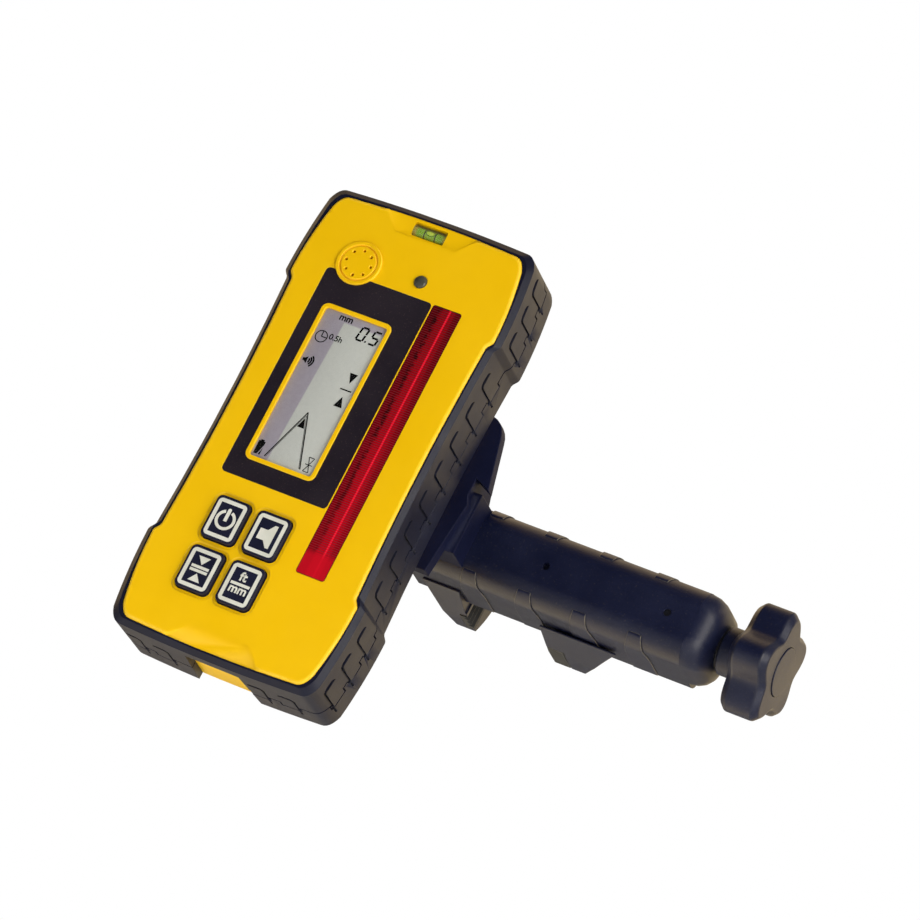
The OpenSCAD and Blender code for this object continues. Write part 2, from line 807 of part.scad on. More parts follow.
module key_switches() placed() color("#2a2a2a") {
    for (col = [0, 1], row = [0, 1]) {
        deep(board_y - switch_l, board_y) at(key_place(col), key_z - row * key_step_z)
            square(switch_w, center = true);
        bar_y(plunger_r, key_place(col), key_z - row * key_step_z, plunger_y, board_y - switch_l);
    }
}

// A key: crowned cap, and a flange that holds it behind the face
module key_body(col, row) placed() color("#15182e") {
    x = key_place(col);
    z = key_z - row * key_step_z;
    union() {
        deep(-key_rise, face_t + slide) at(x, z) rounded(key_w, key_h, key_r);
        deep(face_t + slide, key_back) at(x, z)
            rounded(key_w + 2 * key_flange, key_h + 2 * key_flange, key_r);
    }
}

module key_power() {
    key_body(0, 0);
}

module key_sound() {
    key_body(1, 0);
}

module key_mode() {
    key_body(0, 1);
}

module key_units() {
    key_body(1, 1);
}

module sounder() placed() color("#2b2b2b") {
    bar_y(sounder_body_r, -sounder_left, sounder_z, face_t + fit, board_y);
}

module light_sensor() placed() color("#4a4a42") {
    translate([eye_x, 0, eye_z]) rotate([90, 0, 0]) rotate_extrude()
        polygon(concat([[0, -face_t - eye_flange_r / 2], [eye_flange_r, -face_t - eye_flange_r / 2],
            [eye_flange_r, -face_t - fit], [eye_r, -face_t - fit], [eye_r, 0]],
            [for (i = [1 : bow_steps])
                let (a = 90 * i / bow_steps) [eye_r * cos(a), eye_r / 2 * sin(a)]]));
}

module level_vial() placed() color("#e8f0d0", 0.4) difference() {
    bar_x(vial_r, vial_y, vial_z, -vial_l / 2, vial_l / 2);
    bar_x(vial_r - vial_wall, vial_y, vial_z, -vial_l / 2 + vial_wall, vial_l / 2 - vial_wall);
}

module vial_fluid() placed() color("#9fc43c") {
    bar_x(vial_r - vial_wall - fit, vial_y, vial_z, -vial_l / 2 + vial_wall + fit,
        vial_l / 2 - vial_wall - fit);
}

module housing_screws() placed() color("silver") {
    corner_places() {
        bar_y(screw_r, 0, 0, screw_tip_y, screw_head_y);
        bar_y(screw_head_r, 0, 0, screw_head_y, screw_head_y + screw_head_t);
    }
}

module thread_insert() placed() color("#b8923a") difference() {
    bar_y(insert_r, 0, 0, body_d - insert_l + fit, body_d);
    bar_y(mount_r + run, 0, 0, body_d - insert_l - over, body_d + over);
}

module battery_door() placed() color("#f0bf00") difference() {
    union() {
        box(-door_w / 2, door_w / 2, door_y, body_d, door_low, hinge_z);
        bar_x(knuckle_r, hinge_y, hinge_z, -door_w / 2, door_w / 2);
    }
    bar_x(hinge_pin_r + run, hinge_y, hinge_z, -door_w, door_w);
    translate([0, body_d + finger_r / 2, door_low]) sphere(r = finger_r);
}

module door_pin() placed() color("silver") {
    bar_x(hinge_pin_r, hinge_y, hinge_z, -door_w / 2 - ear_l + fit, door_w / 2 + ear_l - fit);
}

module batteries() placed() color("#3a3a3e") {
    low = bay_low + contact_room;
    for (s = [-1, 1])
        translate([s * (cell_d + bay_gap) / 2, cell_y, low + (s > 0 ? 0 : cell_l)])
            mirror([0, 0, s > 0 ? 0 : 1]) {
                cylinder(d = cell_d, h = cell_l - tip_l);
                translate([0, 0, cell_l - tip_l]) cylinder(r = tip_r, h = tip_l);
            }
}

// Contact plates with a raised leaf that meets each end of a cell
module battery_contacts() placed() color("#c8c8c8") {
    for (s = [-1, 1], low = [0, 1])
        translate([s * (cell_d + bay_gap) / 2, cell_y, low > 0 ? bay_low : bay_top])
            mirror([0, 0, low > 0 ? 0 : 1]) {
                translate([-contact_w / 2, -contact_w / 2, 0]) cube([contact_w, contact_w, contact_t]);
                cylinder(r1 = tip_r + contact_t, r2 = tip_r - contact_t, h = contact_room - fit);
            }
}

// Bracket plate with its hooked right edge, the pedestal of the arm and the sloping gusset
module clamp_bracket() placed() color("#1a1c26") difference() {
    union() {
        deep(plate_y, plate_back) bracket_drawing();
        box(arm_left, arm_left + pedestal_l, plate_back - over, arm_front + pedestal_in,
            -pedestal_h / 2, pedestal_h / 2);
        across(jaw_x - gusset_l, jaw_x)
            polygon([[plate_back - over, 0], [arm_front + gusset_in, 0],
                [arm_front + gusset_in, arm_h / 2 - arm_drop], [plate_back, plate_top - gusset_low],
                [plate_back - over, plate_top - gusset_low]]);
    }
    across(arm_left - over, arm_right) translate([0, -arm_drop]) arm_drawing(fit);
    bar_y(mount_r + slide, 0, 0, plate_y - over, plate_back + over);
    for (s = [-1, 1]) bar_y(pin_r + fit, s * pin_x, 0, plate_y - over, plate_y + pin_sink);
}

module bracket_drawing() {
    right = jaw_x - hook_in;
    polygon(concat([[-plate_left, -plate_low], [right - foot_l, -plate_low],
        [right - foot_l / 2, -plate_low - foot_drop], [right, -plate_low - foot_drop],
        [jaw_x + hook_in, hook_z - hook_h], [jaw_x, hook_z - hook_h / 2], [jaw_x, hook_z + hook_lean],
        [jaw_x + hook_out, hook_z]],
        [for (i = [0 : corner_steps])
            bent([jaw_x + hook_in, plate_top - plate_r], [jaw_x, plate_top],
                [jaw_x - plate_r, plate_top], i / corner_steps)],
        [[-plate_left + plate_r, plate_top], [-plate_left, plate_top - plate_r]]));
}

module locating_pins() placed() color("silver") {
    for (s = [-1, 1])
        bar_y(pin_r, s * pin_x, 0, body_d - pin_sink + fit, plate_y + pin_sink - fit);
}

module mount_screw() placed() color("#1a1c26") {
    bar_y(mount_r, 0, 0, body_d - insert_l + over, plate_back + thumb_neck);
    deep(plate_back + thumb_neck, plate_back + thumb_neck + thumb_l)
        polygon(lobed(thumb_r, thumb_flute, thumb_flutes, thumb_flutes * end_steps));
}

// Cross section of the arm, grown by g
module arm_drawing(g) {
    h = arm_h / 2;
    translate([arm_y, 0]) square([arm_d - 2 * arm_r, arm_h + 2 * g], center = true);
    translate([arm_front - g, -h + arm_r]) square([arm_d - arm_back_r + g, arm_h - 2 * arm_r]);
    translate([arm_y, -h - g]) square([arm_d / 2 - arm_back_r, arm_h + 2 * g]);
    translate([arm_y, -h + arm_back_r]) square([arm_d / 2 + g, arm_h - 2 * arm_back_r]);
    for (s = [-1, 1]) {
        translate([arm_front + arm_r, s * (h - arm_r)]) circle(arm_r + g);
        translate([arm_back - arm_back_r, s * (h - arm_back_r)]) circle(arm_back_r + g);
    }
}

// Section of the rounded end, at a share of its length
module dome_slice(share) {
    keep = sqrt(1 - share * share);
    deep_d = mixed(2 * neck_r, arm_d, keep);
    high_h = mixed(2 * neck_r, arm_h, keep);
    translate([arm_right + dome_l * share, 0, 0]) across(0, fit)
        translate([mixed(axis_y, arm_y, keep), 0]) rounded(deep_d, high_h, neck_r - fit);
}

module arm_housing() clamped() color("#1a1c26") difference() {
    union() {
        across(arm_left, arm_right) arm_drawing(0);
        hull() for (share = dome_shares) dome_slice(share);
    }
    box(cavity_left, cavity_right, arm_front + arm_wall, arm_back + over, -cavity_h / 2, cavity_h / 2);
    box(arm_left + cover_in, arm_right - cover_in, arm_back - cover_t, arm_back + over,
        -cover_h / 2, cover_h / 2);
    bar_x(bush_r + fit, axis_y, 0, arm_left + arm_wall, cavity_left + over);
    bar_x(bush_r + fit, axis_y, 0, cavity_right - over, dome_right + over);
    for (x = hole_places) bar_y(pin_hole_r, x, 0, arm_front - over, arm_front + pin_hole_d);
    for (x = cover_screw_places) bar_y(jaw_screw_r + fit, x, 0, arm_back - cover_t - arm_wall, arm_back);
}

module arm_cover() clamped() color("#22242e") difference() {
    box(arm_left + cover_in + fit, arm_right - cover_in - fit, arm_back - cover_t + fit, arm_back,
        -cover_h / 2 + fit, cover_h / 2 - fit);
    across(nut_x + (nut_l - neck_l) / 2 - travel - over, nut_x + (nut_l + neck_l) / 2 + travel + over)
        translate([arm_back, 0]) square([2 * arm_wall + cover_t, slot_h], center = true);
    for (x = cover_screw_places) {
        bar_y(jaw_screw_r + fit, x, 0, arm_back - cover_t - over, arm_back + over);
        bar_y(jaw_screw_head_r + fit, x, 0, arm_back - jaw_screw_head_t, arm_back + over);
    }
}

module cover_screws() clamped() color("silver") {
    for (x = cover_screw_places) {
        bar_y(jaw_screw_r, x, 0, arm_back - cover_t - arm_wall + fit, arm_back - jaw_screw_head_t + fit);
        bar_y(jaw_screw_head_r, x, 0, arm_back - jaw_screw_head_t + fit, arm_back - fit);
    }
}

// Leaf shaped finger grips that wrap the arm's front edges
module arm_grips() clamped() color("#20222c") intersection() {
    difference() {
        across(grip_first - grip_w, grip_first + grips * grip_step) arm_drawing(grip_t);
        across(grip_first - 2 * grip_w, grip_first + 2 * grips * grip_step) arm_drawing(0);
    }
    for (i = [0 : grips - 1], s = [0, 1])
        mirror([0, 0, s]) translate([grip_first + i * grip_step, 0, arm_h / 2 - arm_r / 2])
            linear_extrude(arm_r) leaf_drawing();
}

module leaf_drawing() {
    back_y = arm_back - arm_back_r;
    polygon([[-grip_tip_w / 2, grip_tip_y], [grip_tip_w / 2, grip_tip_y], [grip_w / 2, grip_wide_y],
        [grip_w / 2, back_y], [-grip_w / 2, back_y], [-grip_w / 2, grip_wide_y]]);
}

module arm_pin() clamped() color("silver") {
    bar_y(pin_hole_r - fit, hole_places[1], 0, arm_front + pin_hole_d / 4, arm_front + pin_hole_d);
}

// Outline of both jaws in Y and Z: lips that start g off the arm and thicken, and a bowed back
module jaw_drawing(g) {
    tip = arm_back + jaw_reach;
    lip = arm_h / 2 + g;
    polygon(concat([[arm_back + jaw_slope, jaw_h / 2], [lip_front, lip], [lip_front, -lip],
        [arm_back + jaw_slope, -jaw_h / 2]],
        [for (i = [-bow_steps : bow_steps])
            let (t = i / bow_steps) [tip - jaw_bow * t * t, t * jaw_h / 2]]));
}

// Plan of the fixed jaw, narrower at its back
module fixed_drawing() {
    tip = arm_back + jaw_reach;
    polygon(concat([[jaw_x - jaw_t, lip_front], [jaw_x, lip_front], [jaw_x, tip]],
        [for (i = [0 : corner_steps])
            bent([jaw_x - jaw_nose + nose_r, tip], [jaw_x - jaw_nose, tip],
                [jaw_x - jaw_nose, tip - nose_r], i / corner_steps)]));
}

module fixed_jaw() clamped() color("#1a1c26") difference() {
    intersection() {
        translate([0, 0, -jaw_h / 2]) linear_extrude(jaw_h) fixed_drawing();
        across(jaw_x - jaw_t - over, jaw_x + over) jaw_drawing(lip_t);
    }
    across(jaw_x - jaw_t - over, jaw_x + over) arm_drawing(fit);
    box(jaw_x - lip_back, jaw_x + over, lip_front - over, arm_back + slide, -jaw_h, jaw_h);
    box(jaw_x - tooth_pad_t, jaw_x + over, arm_back + tooth_margin - fit, tooth_back + fit, -jaw_h, jaw_h);
}

// Toothed insert, with ridges along the rod
module fixed_jaw_pad() clamped() color("#2a2c34") difference() {
    box(jaw_x - tooth_pad_t + fit, jaw_x, arm_back + tooth_margin, tooth_back, -jaw_h / 2, jaw_h / 2);
    for (y = [arm_back + tooth_margin + tooth_pitch / 2 : tooth_pitch : tooth_back])
        translate([jaw_x, y, -jaw_h]) linear_extrude(2 * jaw_h)
            polygon([[-tooth_d, 0], [over, -tooth_pitch / 2 - over], [over, tooth_pitch / 2 + over]]);
}

// Plan of the moving jaw, with a swept back right side
module shoe_drawing() {
    tip = arm_back + jaw_reach;
    polygon(concat([[shoe_x, lip_front], [shoe_x, tip], [shoe_x + shoe_nose, tip]],
        [for (i = [1 : shoe_steps])
            bent([shoe_x + shoe_nose, tip],
                [mixed(shoe_x + shoe_nose, shoe_x + shoe_l, sweep_share), mixed(lip_front, tip, 1 / 2)],
                [shoe_x + shoe_l, lip_front], i / shoe_steps)]));
}

module moving_jaw() clamped() color("#1a1c26") difference() {
    intersection() {
        translate([0, 0, -jaw_h / 2]) linear_extrude(jaw_h) shoe_drawing();
        across(shoe_x - over, shoe_x + shoe_l + over) jaw_drawing(lip_gap + lip_t);
    }
    box(shoe_x - over, shoe_x + shoe_l + over, lip_front - over, arm_back + slide,
        -arm_h / 2 - lip_gap, arm_h / 2 + lip_gap);
    box(shoe_x - over, shoe_x + pad_t, arm_back + pad_lap, arm_back + jaw_reach + over, -jaw_h, jaw_h);
    jaw_screw_places() {
        bar_y(jaw_screw_r + fit, 0, 0, arm_back, arm_back + jaw_reach);
        bar_y(jaw_screw_head_r + fit, 0, 0, arm_back + arm_wall, arm_back + jaw_reach + over);
    }
}

module jaw_screw_places() {
    for (s = [-1, 1]) translate([nut_x + nut_l / 2 + s * jaw_screw_step / 2, 0, 0]) children();
}

module moving_jaw_pad() clamped() color("#3a3c40") intersection() {
    box(shoe_x, shoe_x + pad_t - fit, arm_back + pad_lap + fit, arm_back + jaw_reach, -jaw_h, jaw_h);
    across(shoe_x - over, shoe_x + pad_t + over) jaw_drawing(lip_gap + lip_t);
}

// Nut that slides in the arm, with a neck through the cover's slot to the moving jaw
module jaw_nut() clamped() color("#b8923a") difference() {
    union() {
        box(nut_x, nut_x + nut_l, axis_y - nut_d / 2, axis_y + nut_d / 2,
            -cavity_h / 2 + slide, cavity_h / 2 - slide);
        box(nut_x + (nut_l - neck_l) / 2, nut_x + (nut_l + neck_l) / 2, axis_y, arm_back + slide,
            -neck_h / 2, neck_h / 2);
    }
    bar_x(spindle_r + run, axis_y, 0, nut_x - over, nut_x + nut_l + over);
    jaw_screw_places() bar_y(jaw_screw_r + fit, 0, 0, arm_back - jaw_screw_l, arm_back + over);
}

module jaw_screws() clamped() color("silver") {
    jaw_screw_places() {
        bar_y(jaw_screw_r, 0, 0, arm_back - jaw_screw_l + fit, arm_back + arm_wall + fit);
        bar_y(jaw_screw_head_r, 0, 0, arm_back + arm_wall + fit, arm_back + arm_wall + jaw_screw_head_t);
    }
}

module spindle() clamped() color("#a8aab0") {
    bar_x(spindle_r, axis_y, 0, arm_left + arm_wall + slide, knob_right - knob_edge - cap_t);
}

module inner_bush() clamped() color("#d8d4c8") difference() {
    bar_x(bush_r, axis_y, 0, arm_left + arm_wall + fit, cavity_left - fit);
    bar_x(spindle_r + run, axis_y, 0, arm_left, cavity_left + over);
}

module outer_bush() clamped() color("#d8d4c8") difference() {
    bar_x(bush_r, axis_y, 0, cavity_right, dome_right);
    bar_x(spindle_r + run, axis_y, 0, cavity_right - over, dome_right + over);
}

module thrust_washer() clamped() color("silver") difference() {
    bar_x(washer_r, axis_y, 0, dome_right + run, dome_right + run + washer_t);
    bar_x(spindle_r + run, axis_y, 0, dome_right - over, dome_right + washer_t + over);
}

module retaining_ring() clamped() color("silver") difference() {
    bar_x(ring_r, axis_y, 0, cavity_right - slide - ring_t, cavity_right - slide);
    bar_x(spindle_r, axis_y, 0, cavity_right - slide - ring_t - over, cavity_right + over);
}

// Lobed layer of the knob from x0 to x1, drawn in by edge towards the end
module knob_layer(x0, x1, edge) {
    translate([x0, axis_y, 0]) rotate([0, 90, 0])
        linear_extrude(x1 - x0, scale = 1 - edge / knob_r)
            polygon(lobed(knob_r, knob_hollow, knob_lobes, knob_steps, knob_phase));
}

module knob() clamped() color("#16181f") difference() {
    union() {
        bar_x(hub_r, axis_y, 0, hub_x, lobe_x + knob_edge);
        knob_layer(lobe_x + knob_edge, knob_right - knob_edge, 0);
        knob_layer(knob_right - knob_edge, knob_right, knob_edge);
        translate([2 * (lobe_x + knob_edge), 0, 0]) mirror([1, 0, 0])
            knob_layer(lobe_x + knob_edge, lobe_x + 2 * knob_edge, knob_edge);
    }
    bar_x(spindle_r, axis_y, 0, hub_x - over, knob_right - knob_edge - cap_t + fit);
    bar_x(cap_r + fit, axis_y, 0, knob_right - cap_t, knob_right + over);
}

module knob_cap() clamped() color("#1c1e26") {
    bar_x(cap_r, axis_y, 0, knob_right - cap_t + fit, knob_right + cap_rise);
}

front_housing();
rear_housing();
front_bumper();
rear_bumper();
display_mask();
display_window();
lcd_panel();
sensor_window();
sensor_lens();
sensor_board();
main_board();
key_switches();
key_power();
key_sound();
key_mode();
key_units();
sounder();
light_sensor();
level_vial();
vial_fluid();
housing_screws();
thread_insert();
battery_door();
door_pin();
batteries();
battery_contacts();
clamp_bracket();
locating_pins();
mount_screw();
arm_housing();
arm_cover();
cover_screws();
arm_grips();
arm_pin();
fixed_jaw();
fixed_jaw_pad();
moving_jaw();
moving_jaw_pad();
jaw_nut();
jaw_screws();
spindle();
inner_bush();
outer_bush();
thrust_washer();
retaining_ring();
knob();
knob_cap();
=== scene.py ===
import json
import math

import bmesh
import bpy
from mathutils import Matrix, Vector


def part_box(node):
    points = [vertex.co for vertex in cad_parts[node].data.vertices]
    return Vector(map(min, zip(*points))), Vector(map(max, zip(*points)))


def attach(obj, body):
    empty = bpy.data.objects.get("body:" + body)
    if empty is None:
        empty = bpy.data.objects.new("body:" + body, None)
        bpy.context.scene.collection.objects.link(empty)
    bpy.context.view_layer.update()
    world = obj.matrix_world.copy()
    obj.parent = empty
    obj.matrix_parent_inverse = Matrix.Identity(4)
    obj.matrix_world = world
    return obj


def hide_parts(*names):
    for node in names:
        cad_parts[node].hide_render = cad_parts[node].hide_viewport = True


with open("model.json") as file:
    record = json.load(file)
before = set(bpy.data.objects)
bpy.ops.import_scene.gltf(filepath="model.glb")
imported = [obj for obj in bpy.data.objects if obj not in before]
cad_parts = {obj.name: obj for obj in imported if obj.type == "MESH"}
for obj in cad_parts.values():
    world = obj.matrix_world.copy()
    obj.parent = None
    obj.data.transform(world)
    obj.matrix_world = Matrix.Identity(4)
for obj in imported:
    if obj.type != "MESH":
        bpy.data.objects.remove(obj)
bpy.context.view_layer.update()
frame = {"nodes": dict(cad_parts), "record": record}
nodes = frame["nodes"]
scene = bpy.context.scene
scene.view_settings.view_transform = "Standard"
mm = 0.001
bodyOf = {n: body for body, members in frame["record"]["behaviour"]["bodies"].items() for n in members}
slotOf = {p["node"]: p["material_slot"] for p in frame["record"]["subparts"]}

# middle of the yellow face in the shared frame, in mm: drawings on the face are measured from here
faceMiddle = Vector((-56.0, -83.5, 0.0))
print("frame loaded:", len(nodes), "nodes")


def toLinear(hexColour):
    parts = [int(hexColour[i:i + 2], 16) / 255 for i in (1, 3, 5)]
    return [p / 12.92 if p <= 0.04045 else ((p + 0.055) / 1.055) ** 2.4 for p in parts] + [1.0]


def addNode(tree, kind, inputs=None, **settings):
    made = tree.nodes.new(kind)
    for key, value in settings.items():
        setattr(made, key, value)
    for key, value in (inputs or {}).items():
        made.inputs[key].default_value = value
    return made


def mixColour(tree, factor, a, b):
    made = addNode(tree, "ShaderNodeMix", data_type="RGBA")
    tree.links.new(factor, made.inputs["Factor"])
    for socket, value in ((made.inputs[6], a), (made.inputs[7], b)):
        if isinstance(value, str):
            socket.default_value = toLinear(value)
        else:
            tree.links.new(value, socket)
    return made.outputs[2]


def mapRange(tree, value, low, high, toLow=0.0, toHigh=1.0, smooth=False):
    made = addNode(tree, "ShaderNodeMapRange", {"From Min": low, "From Max": high,
                                                "To Min": toLow, "To Max": toHigh})
    if smooth:
        made.interpolation_type = "SMOOTHSTEP"
    tree.links.new(value, made.inputs["Value"])
    return made.outputs["Result"]


def doMath(tree, operation, a, b):
    made = addNode(tree, "ShaderNodeMath", operation=operation)
    for socket, value in ((made.inputs[0], a), (made.inputs[1], b)):
        if isinstance(value, (int, float)):
            socket.default_value = value
        else:
            tree.links.new(value, socket)
    return made.outputs[0]


def awayFrom(tree, value, middle):
    return doMath(tree, "ABSOLUTE", doMath(tree, "SUBTRACT", value, middle), 0.0)


def splitAxes(tree, vector):
    axes = addNode(tree, "ShaderNodeSeparateXYZ")
    tree.links.new(vector, axes.inputs["Vector"])
    return axes.outputs


def addNoise(tree, vector, scale, detail, rough=0.5):
    made = addNode(tree, "ShaderNodeTexNoise", {"Scale": scale, "Detail": detail, "Roughness": rough})
    tree.links.new(vector, made.inputs["Vector"])
    return made.outputs["Fac"]


def linkSurface(tree, shader, colour, rough):
    tree.links.new(colour, shader.inputs["Base Color"])
    tree.links.new(rough, shader.inputs["Roughness"])


def linkBump(tree, shader, height, strength, distance):
    bump = addNode(tree, "ShaderNodeBump", {"Strength": strength, "Distance": distance})
    tree.links.new(height, bump.inputs["Height"])
    tree.links.new(bump.outputs["Normal"], shader.inputs["Normal"])


def placeMesh(bm, name, finish, sharpAngle=None):
    mesh = bpy.data.meshes.new(name)
    bm.to_mesh(mesh)
    bm.free()
    if sharpAngle is not None:
        mesh.polygons.foreach_set("use_smooth", [True] * len(mesh.polygons))
        mesh.set_sharp_from_angle(angle=math.radians(sharpAngle))
    mesh.materials.append(finish)
    obj = bpy.data.objects.new(name, mesh)
    scene.collection.objects.link(obj)
    return obj


# the view was found from the straight edges of the photographed face
cameraView = {
    "lens": 202.807,
    "sensor": 36,
    "clipStart": 0.05,
    "place": (0.619055, -1.542794, -0.440852),
    "aim": (-0.035211, -0.023423, 0.026834),
    "up": (-0.324130, -0.403026, 0.855868),
}


def placeCamera(view):
    place = Vector(view["place"])
    forward = (Vector(view["aim"]) - place).normalized()
    right = forward.cross(Vector(view["up"])).normalized()
    up = right.cross(forward)
    turn = Matrix((right, up, -forward)).transposed().to_4x4()
    camera = bpy.data.objects.new("camera", bpy.data.cameras.new("camera"))
    camera.data.lens = view["lens"]
    camera.data.sensor_width = view["sensor"]
    camera.data.clip_start = view["clipStart"]
    camera.matrix_world = Matrix.Translation(place) @ turn
    scene.collection.objects.link(camera)
    scene.camera = camera


placeCamera(cameraView)
print("camera placed")

# boxes light the part from outside the front's mirror direction; screens show only in reflections, so dark sides
# turn pale and dark fronts stay dark; the room is dim in front and bright behind
studioLight = {
    "lamps": {
        "rightBox": dict(towards=(0.85, -0.52, 0.05), distance=1.5, size=1.0, level=0.75, colour="#fffaf0"),
        "lowBox": dict(towards=(-0.20, -0.60, -0.75), distance=0.66, size=0.6, level=0.45, mirrored=False),
        "highBox": dict(towards=(0.55, -0.45, 0.70), distance=1.5, size=1.0, level=0.45, mirrored=False),
        "backScreen": dict(towards=(0.42, 0.87, 0.26), distance=1.5, size=2.4, level=0.78, spread=False,
                           colour="#ffdf9c"),
        "backBox": dict(towards=(-0.45, 0.80, 0.40), distance=1.5, size=1.0, level=0.45, mirrored=False),
        "leftScreen": dict(towards=(-0.87, 0.39, 0.27), distance=1.5, size=1.2, level=0.42, spread=False,
                           colour="#ffd898"),
        "topScreen": dict(towards=(-0.38, 0.28, 0.87), distance=1.5, size=1.2, level=0.24, spread=False,
                          colour="#ffd898"),
        "underScreen": dict(towards=(-0.36, 0.22, -0.90), distance=0.6, size=0.6, level=0.50, spread=False,
                            colour="#ffe2a4"),
    },
    "room": dict(span=(-0.1, 0.5), levels=(0.025, 0.42), tint="#fff8ec"),
    "floor": dict(drop=0.62, size=6, tone=0.86, rough=0.9, glow=0.62),
}
white = (1.0, 1.0, 1.0, 1.0)


def addLamp(name, look, aim):
    lamp = bpy.data.lights.new(name, "AREA")
    lamp.shape = "SQUARE"
    lamp.size = look["size"]
    lamp.energy = look["level"] * math.pi * math.pi * look["distance"] ** 2
    lamp.color = toLinear(look.get("colour", "#ffffff"))[:3]
    box = bpy.data.objects.new(name, lamp)
    place = aim + Vector(look["towards"]).normalized() * look["distance"]
    turn = (aim - place).to_track_quat("-Z", "Y").to_matrix().to_4x4()
    box.matrix_world = Matrix.Translation(place) @ turn
    box.visible_camera = False
    box.visible_transmission = False
    box.visible_glossy = look.get("mirrored", True)
    box.visible_diffuse = look.get("spread", True)
    scene.collection.objects.link(box)


def lightRoom(room):
    # the camera sees white, also through clear pieces; every other ray meets the room
    world = bpy.data.worlds.new("studio")
    scene.world = world
    world.use_nodes = True
    tree = world.node_tree
    tree.nodes.clear()
    path = addNode(tree, "ShaderNodeLightPath")
    axes = splitAxes(tree, addNode(tree, "ShaderNodeTexCoord").outputs["Generated"])
    lit = addNode(tree, "ShaderNodeBackground", {"Color": toLinear(room["tint"])})
    tree.links.new(mapRange(tree, axes["Y"], *room["span"], *room["levels"], smooth=True), lit.inputs["Strength"])
    plain = addNode(tree, "ShaderNodeBackground", {"Color": white, "Strength": 1.0})
    pick = addNode(tree, "ShaderNodeMixShader")
    out = addNode(tree, "ShaderNodeOutputWorld")
    seen = doMath(tree, "MAXIMUM", path.outputs["Is Camera Ray"], path.outputs["Is Transmission Ray"])
    tree.links.new(seen, pick.inputs[0])
    tree.links.new(lit.outputs[0], pick.inputs[1])
    tree.links.new(plain.outputs[0], pick.inputs[2])
    tree.links.new(pick.outputs[0], out.inputs["Surface"])


def layFloor(look):
    # the floor glows for the camera only, so that it stays as white as the room
    paper = bpy.data.materials.new("paperFloor")
    paper.use_nodes = True
    tree = paper.node_tree
    shader = tree.nodes["Principled BSDF"]
    shader.inputs["Base Color"].default_value = (look["tone"], look["tone"], look["tone"], 1.0)
    shader.inputs["Roughness"].default_value = look["rough"]
    shader.inputs["Emission Color"].default_value = white
    path = addNode(tree, "ShaderNodeLightPath")
    glow = doMath(tree, "MULTIPLY", path.outputs["Is Camera Ray"], look["glow"])
    tree.links.new(glow, shader.inputs["Emission Strength"])
    bm = bmesh.new()
    bmesh.ops.create_grid(bm, x_segments=1, y_segments=1, size=look["size"])
    bmesh.ops.translate(bm, verts=bm.verts, vec=(0, 0, -look["drop"]))
    floor = placeMesh(bm, "floor", paper)


for lampName, lampLook in studioLight["lamps"].items():
    addLamp(lampName, lampLook, Vector(cameraView["aim"]))
lightRoom(studioLight["room"])
layFloor(studioLight["floor"])
print("studio lit")


def newGroup(name, inputs, outputs):
    tree = bpy.data.node_groups.new(name, "ShaderNodeTree")
    for label, kind, value in inputs:
        socket = tree.interface.new_socket(label, in_out="INPUT", socket_type=kind)
        if value is not None:
            socket.default_value = value
    for label, kind in outputs:
        tree.interface.new_socket(label, in_out="OUTPUT", socket_type=kind)
    return tree, tree.nodes.new("NodeGroupInput"), tree.nodes.new("NodeGroupOutput")


def makeMouldGrain():
    # spark-eroded mould skin: fine pits for the bump, broad flow marks for the tone
    tree, given, out = newGroup("mouldGrain", [("Vector", "NodeSocketVector", None),
                                               ("Fine", "NodeSocketFloat", 2500.0),
                                               ("Broad", "NodeSocketFloat", 45.0)],
                                [("Tone", "NodeSocketFloat"), ("Height", "NodeSocketFloat"),
                                 ("Speck", "NodeSocketFloat")])
    fine = addNode(tree, "ShaderNodeTexNoise", {"Detail": 3.0, "Roughness": 0.6})
    broad = addNode(tree, "ShaderNodeTexNoise", {"Detail": 4.0, "Roughness": 0.55})
    pits = addNode(tree, "ShaderNodeTexVoronoi", {"Randomness": 1.0})
    for texture, label in ((fine, "Fine"), (broad, "Broad"), (pits, "Fine")):
        tree.links.new(given.outputs["Vector"], texture.inputs["Vector"])
        tree.links.new(given.outputs[label], texture.inputs["Scale"])
    pitDepth = mapRange(tree, pits.outputs["Distance"], 0.05, 0.55, 0.0, 1.0, smooth=True)
    height = doMath(tree, "ADD", doMath(tree, "MULTIPLY", fine.outputs["Fac"], 0.6),
                    doMath(tree, "MULTIPLY", pitDepth, 0.4))
    tree.links.new(mapRange(tree, broad.outputs["Fac"], 0.3, 0.7, 0.0, 1.0), out.inputs["Tone"])
    tree.links.new(height, out.inputs["Height"])
    tree.links.new(mapRange(tree, fine.outputs["Fac"], 0.6, 0.72, 0.0, 1.0, smooth=True), out.inputs["Speck"])
    return tree


def makeEdgeWearHighlight():
    # rounded edges carry the edgeMask attribute and take the edge colour in uneven patches: handling polishes them,
    # and on the yellow plastic and the leaf grips the lighter edge colour is a painted highlight
    tree, given, out = newGroup("edgeWearHighlight", [("Vector", "NodeSocketVector", None),
                                            ("Scale", "NodeSocketFloat", 220.0)],
                                [("WearHighlightMix", "NodeSocketFloat")])
    mask = addNode(tree, "ShaderNodeAttribute", attribute_name="edgeMask")
    patch = addNode(tree, "ShaderNodeTexNoise", {"Detail": 4.0, "Roughness": 0.65})
    tree.links.new(given.outputs["Vector"], patch.inputs["Vector"])
    tree.links.new(given.outputs["Scale"], patch.inputs["Scale"])
    patchyWearHighlight = mapRange(tree, patch.outputs["Fac"], 0.38, 0.62, 0.25, 1.0, smooth=True)
    tree.links.new(doMath(tree, "MULTIPLY", patchyWearHighlight, mask.outputs["Fac"]), out.inputs["WearHighlightMix"])
    return tree


mouldGrain = makeMouldGrain()
edgeWearHighlight = makeEdgeWearHighlight()


def startFinish(name):
    finish = bpy.data.materials.new(name)
    finish.use_nodes = True
    tree = finish.node_tree
    coords = addNode(tree, "ShaderNodeTexCoord")
    return finish, tree, tree.nodes["Principled BSDF"], coords.outputs["Object"]


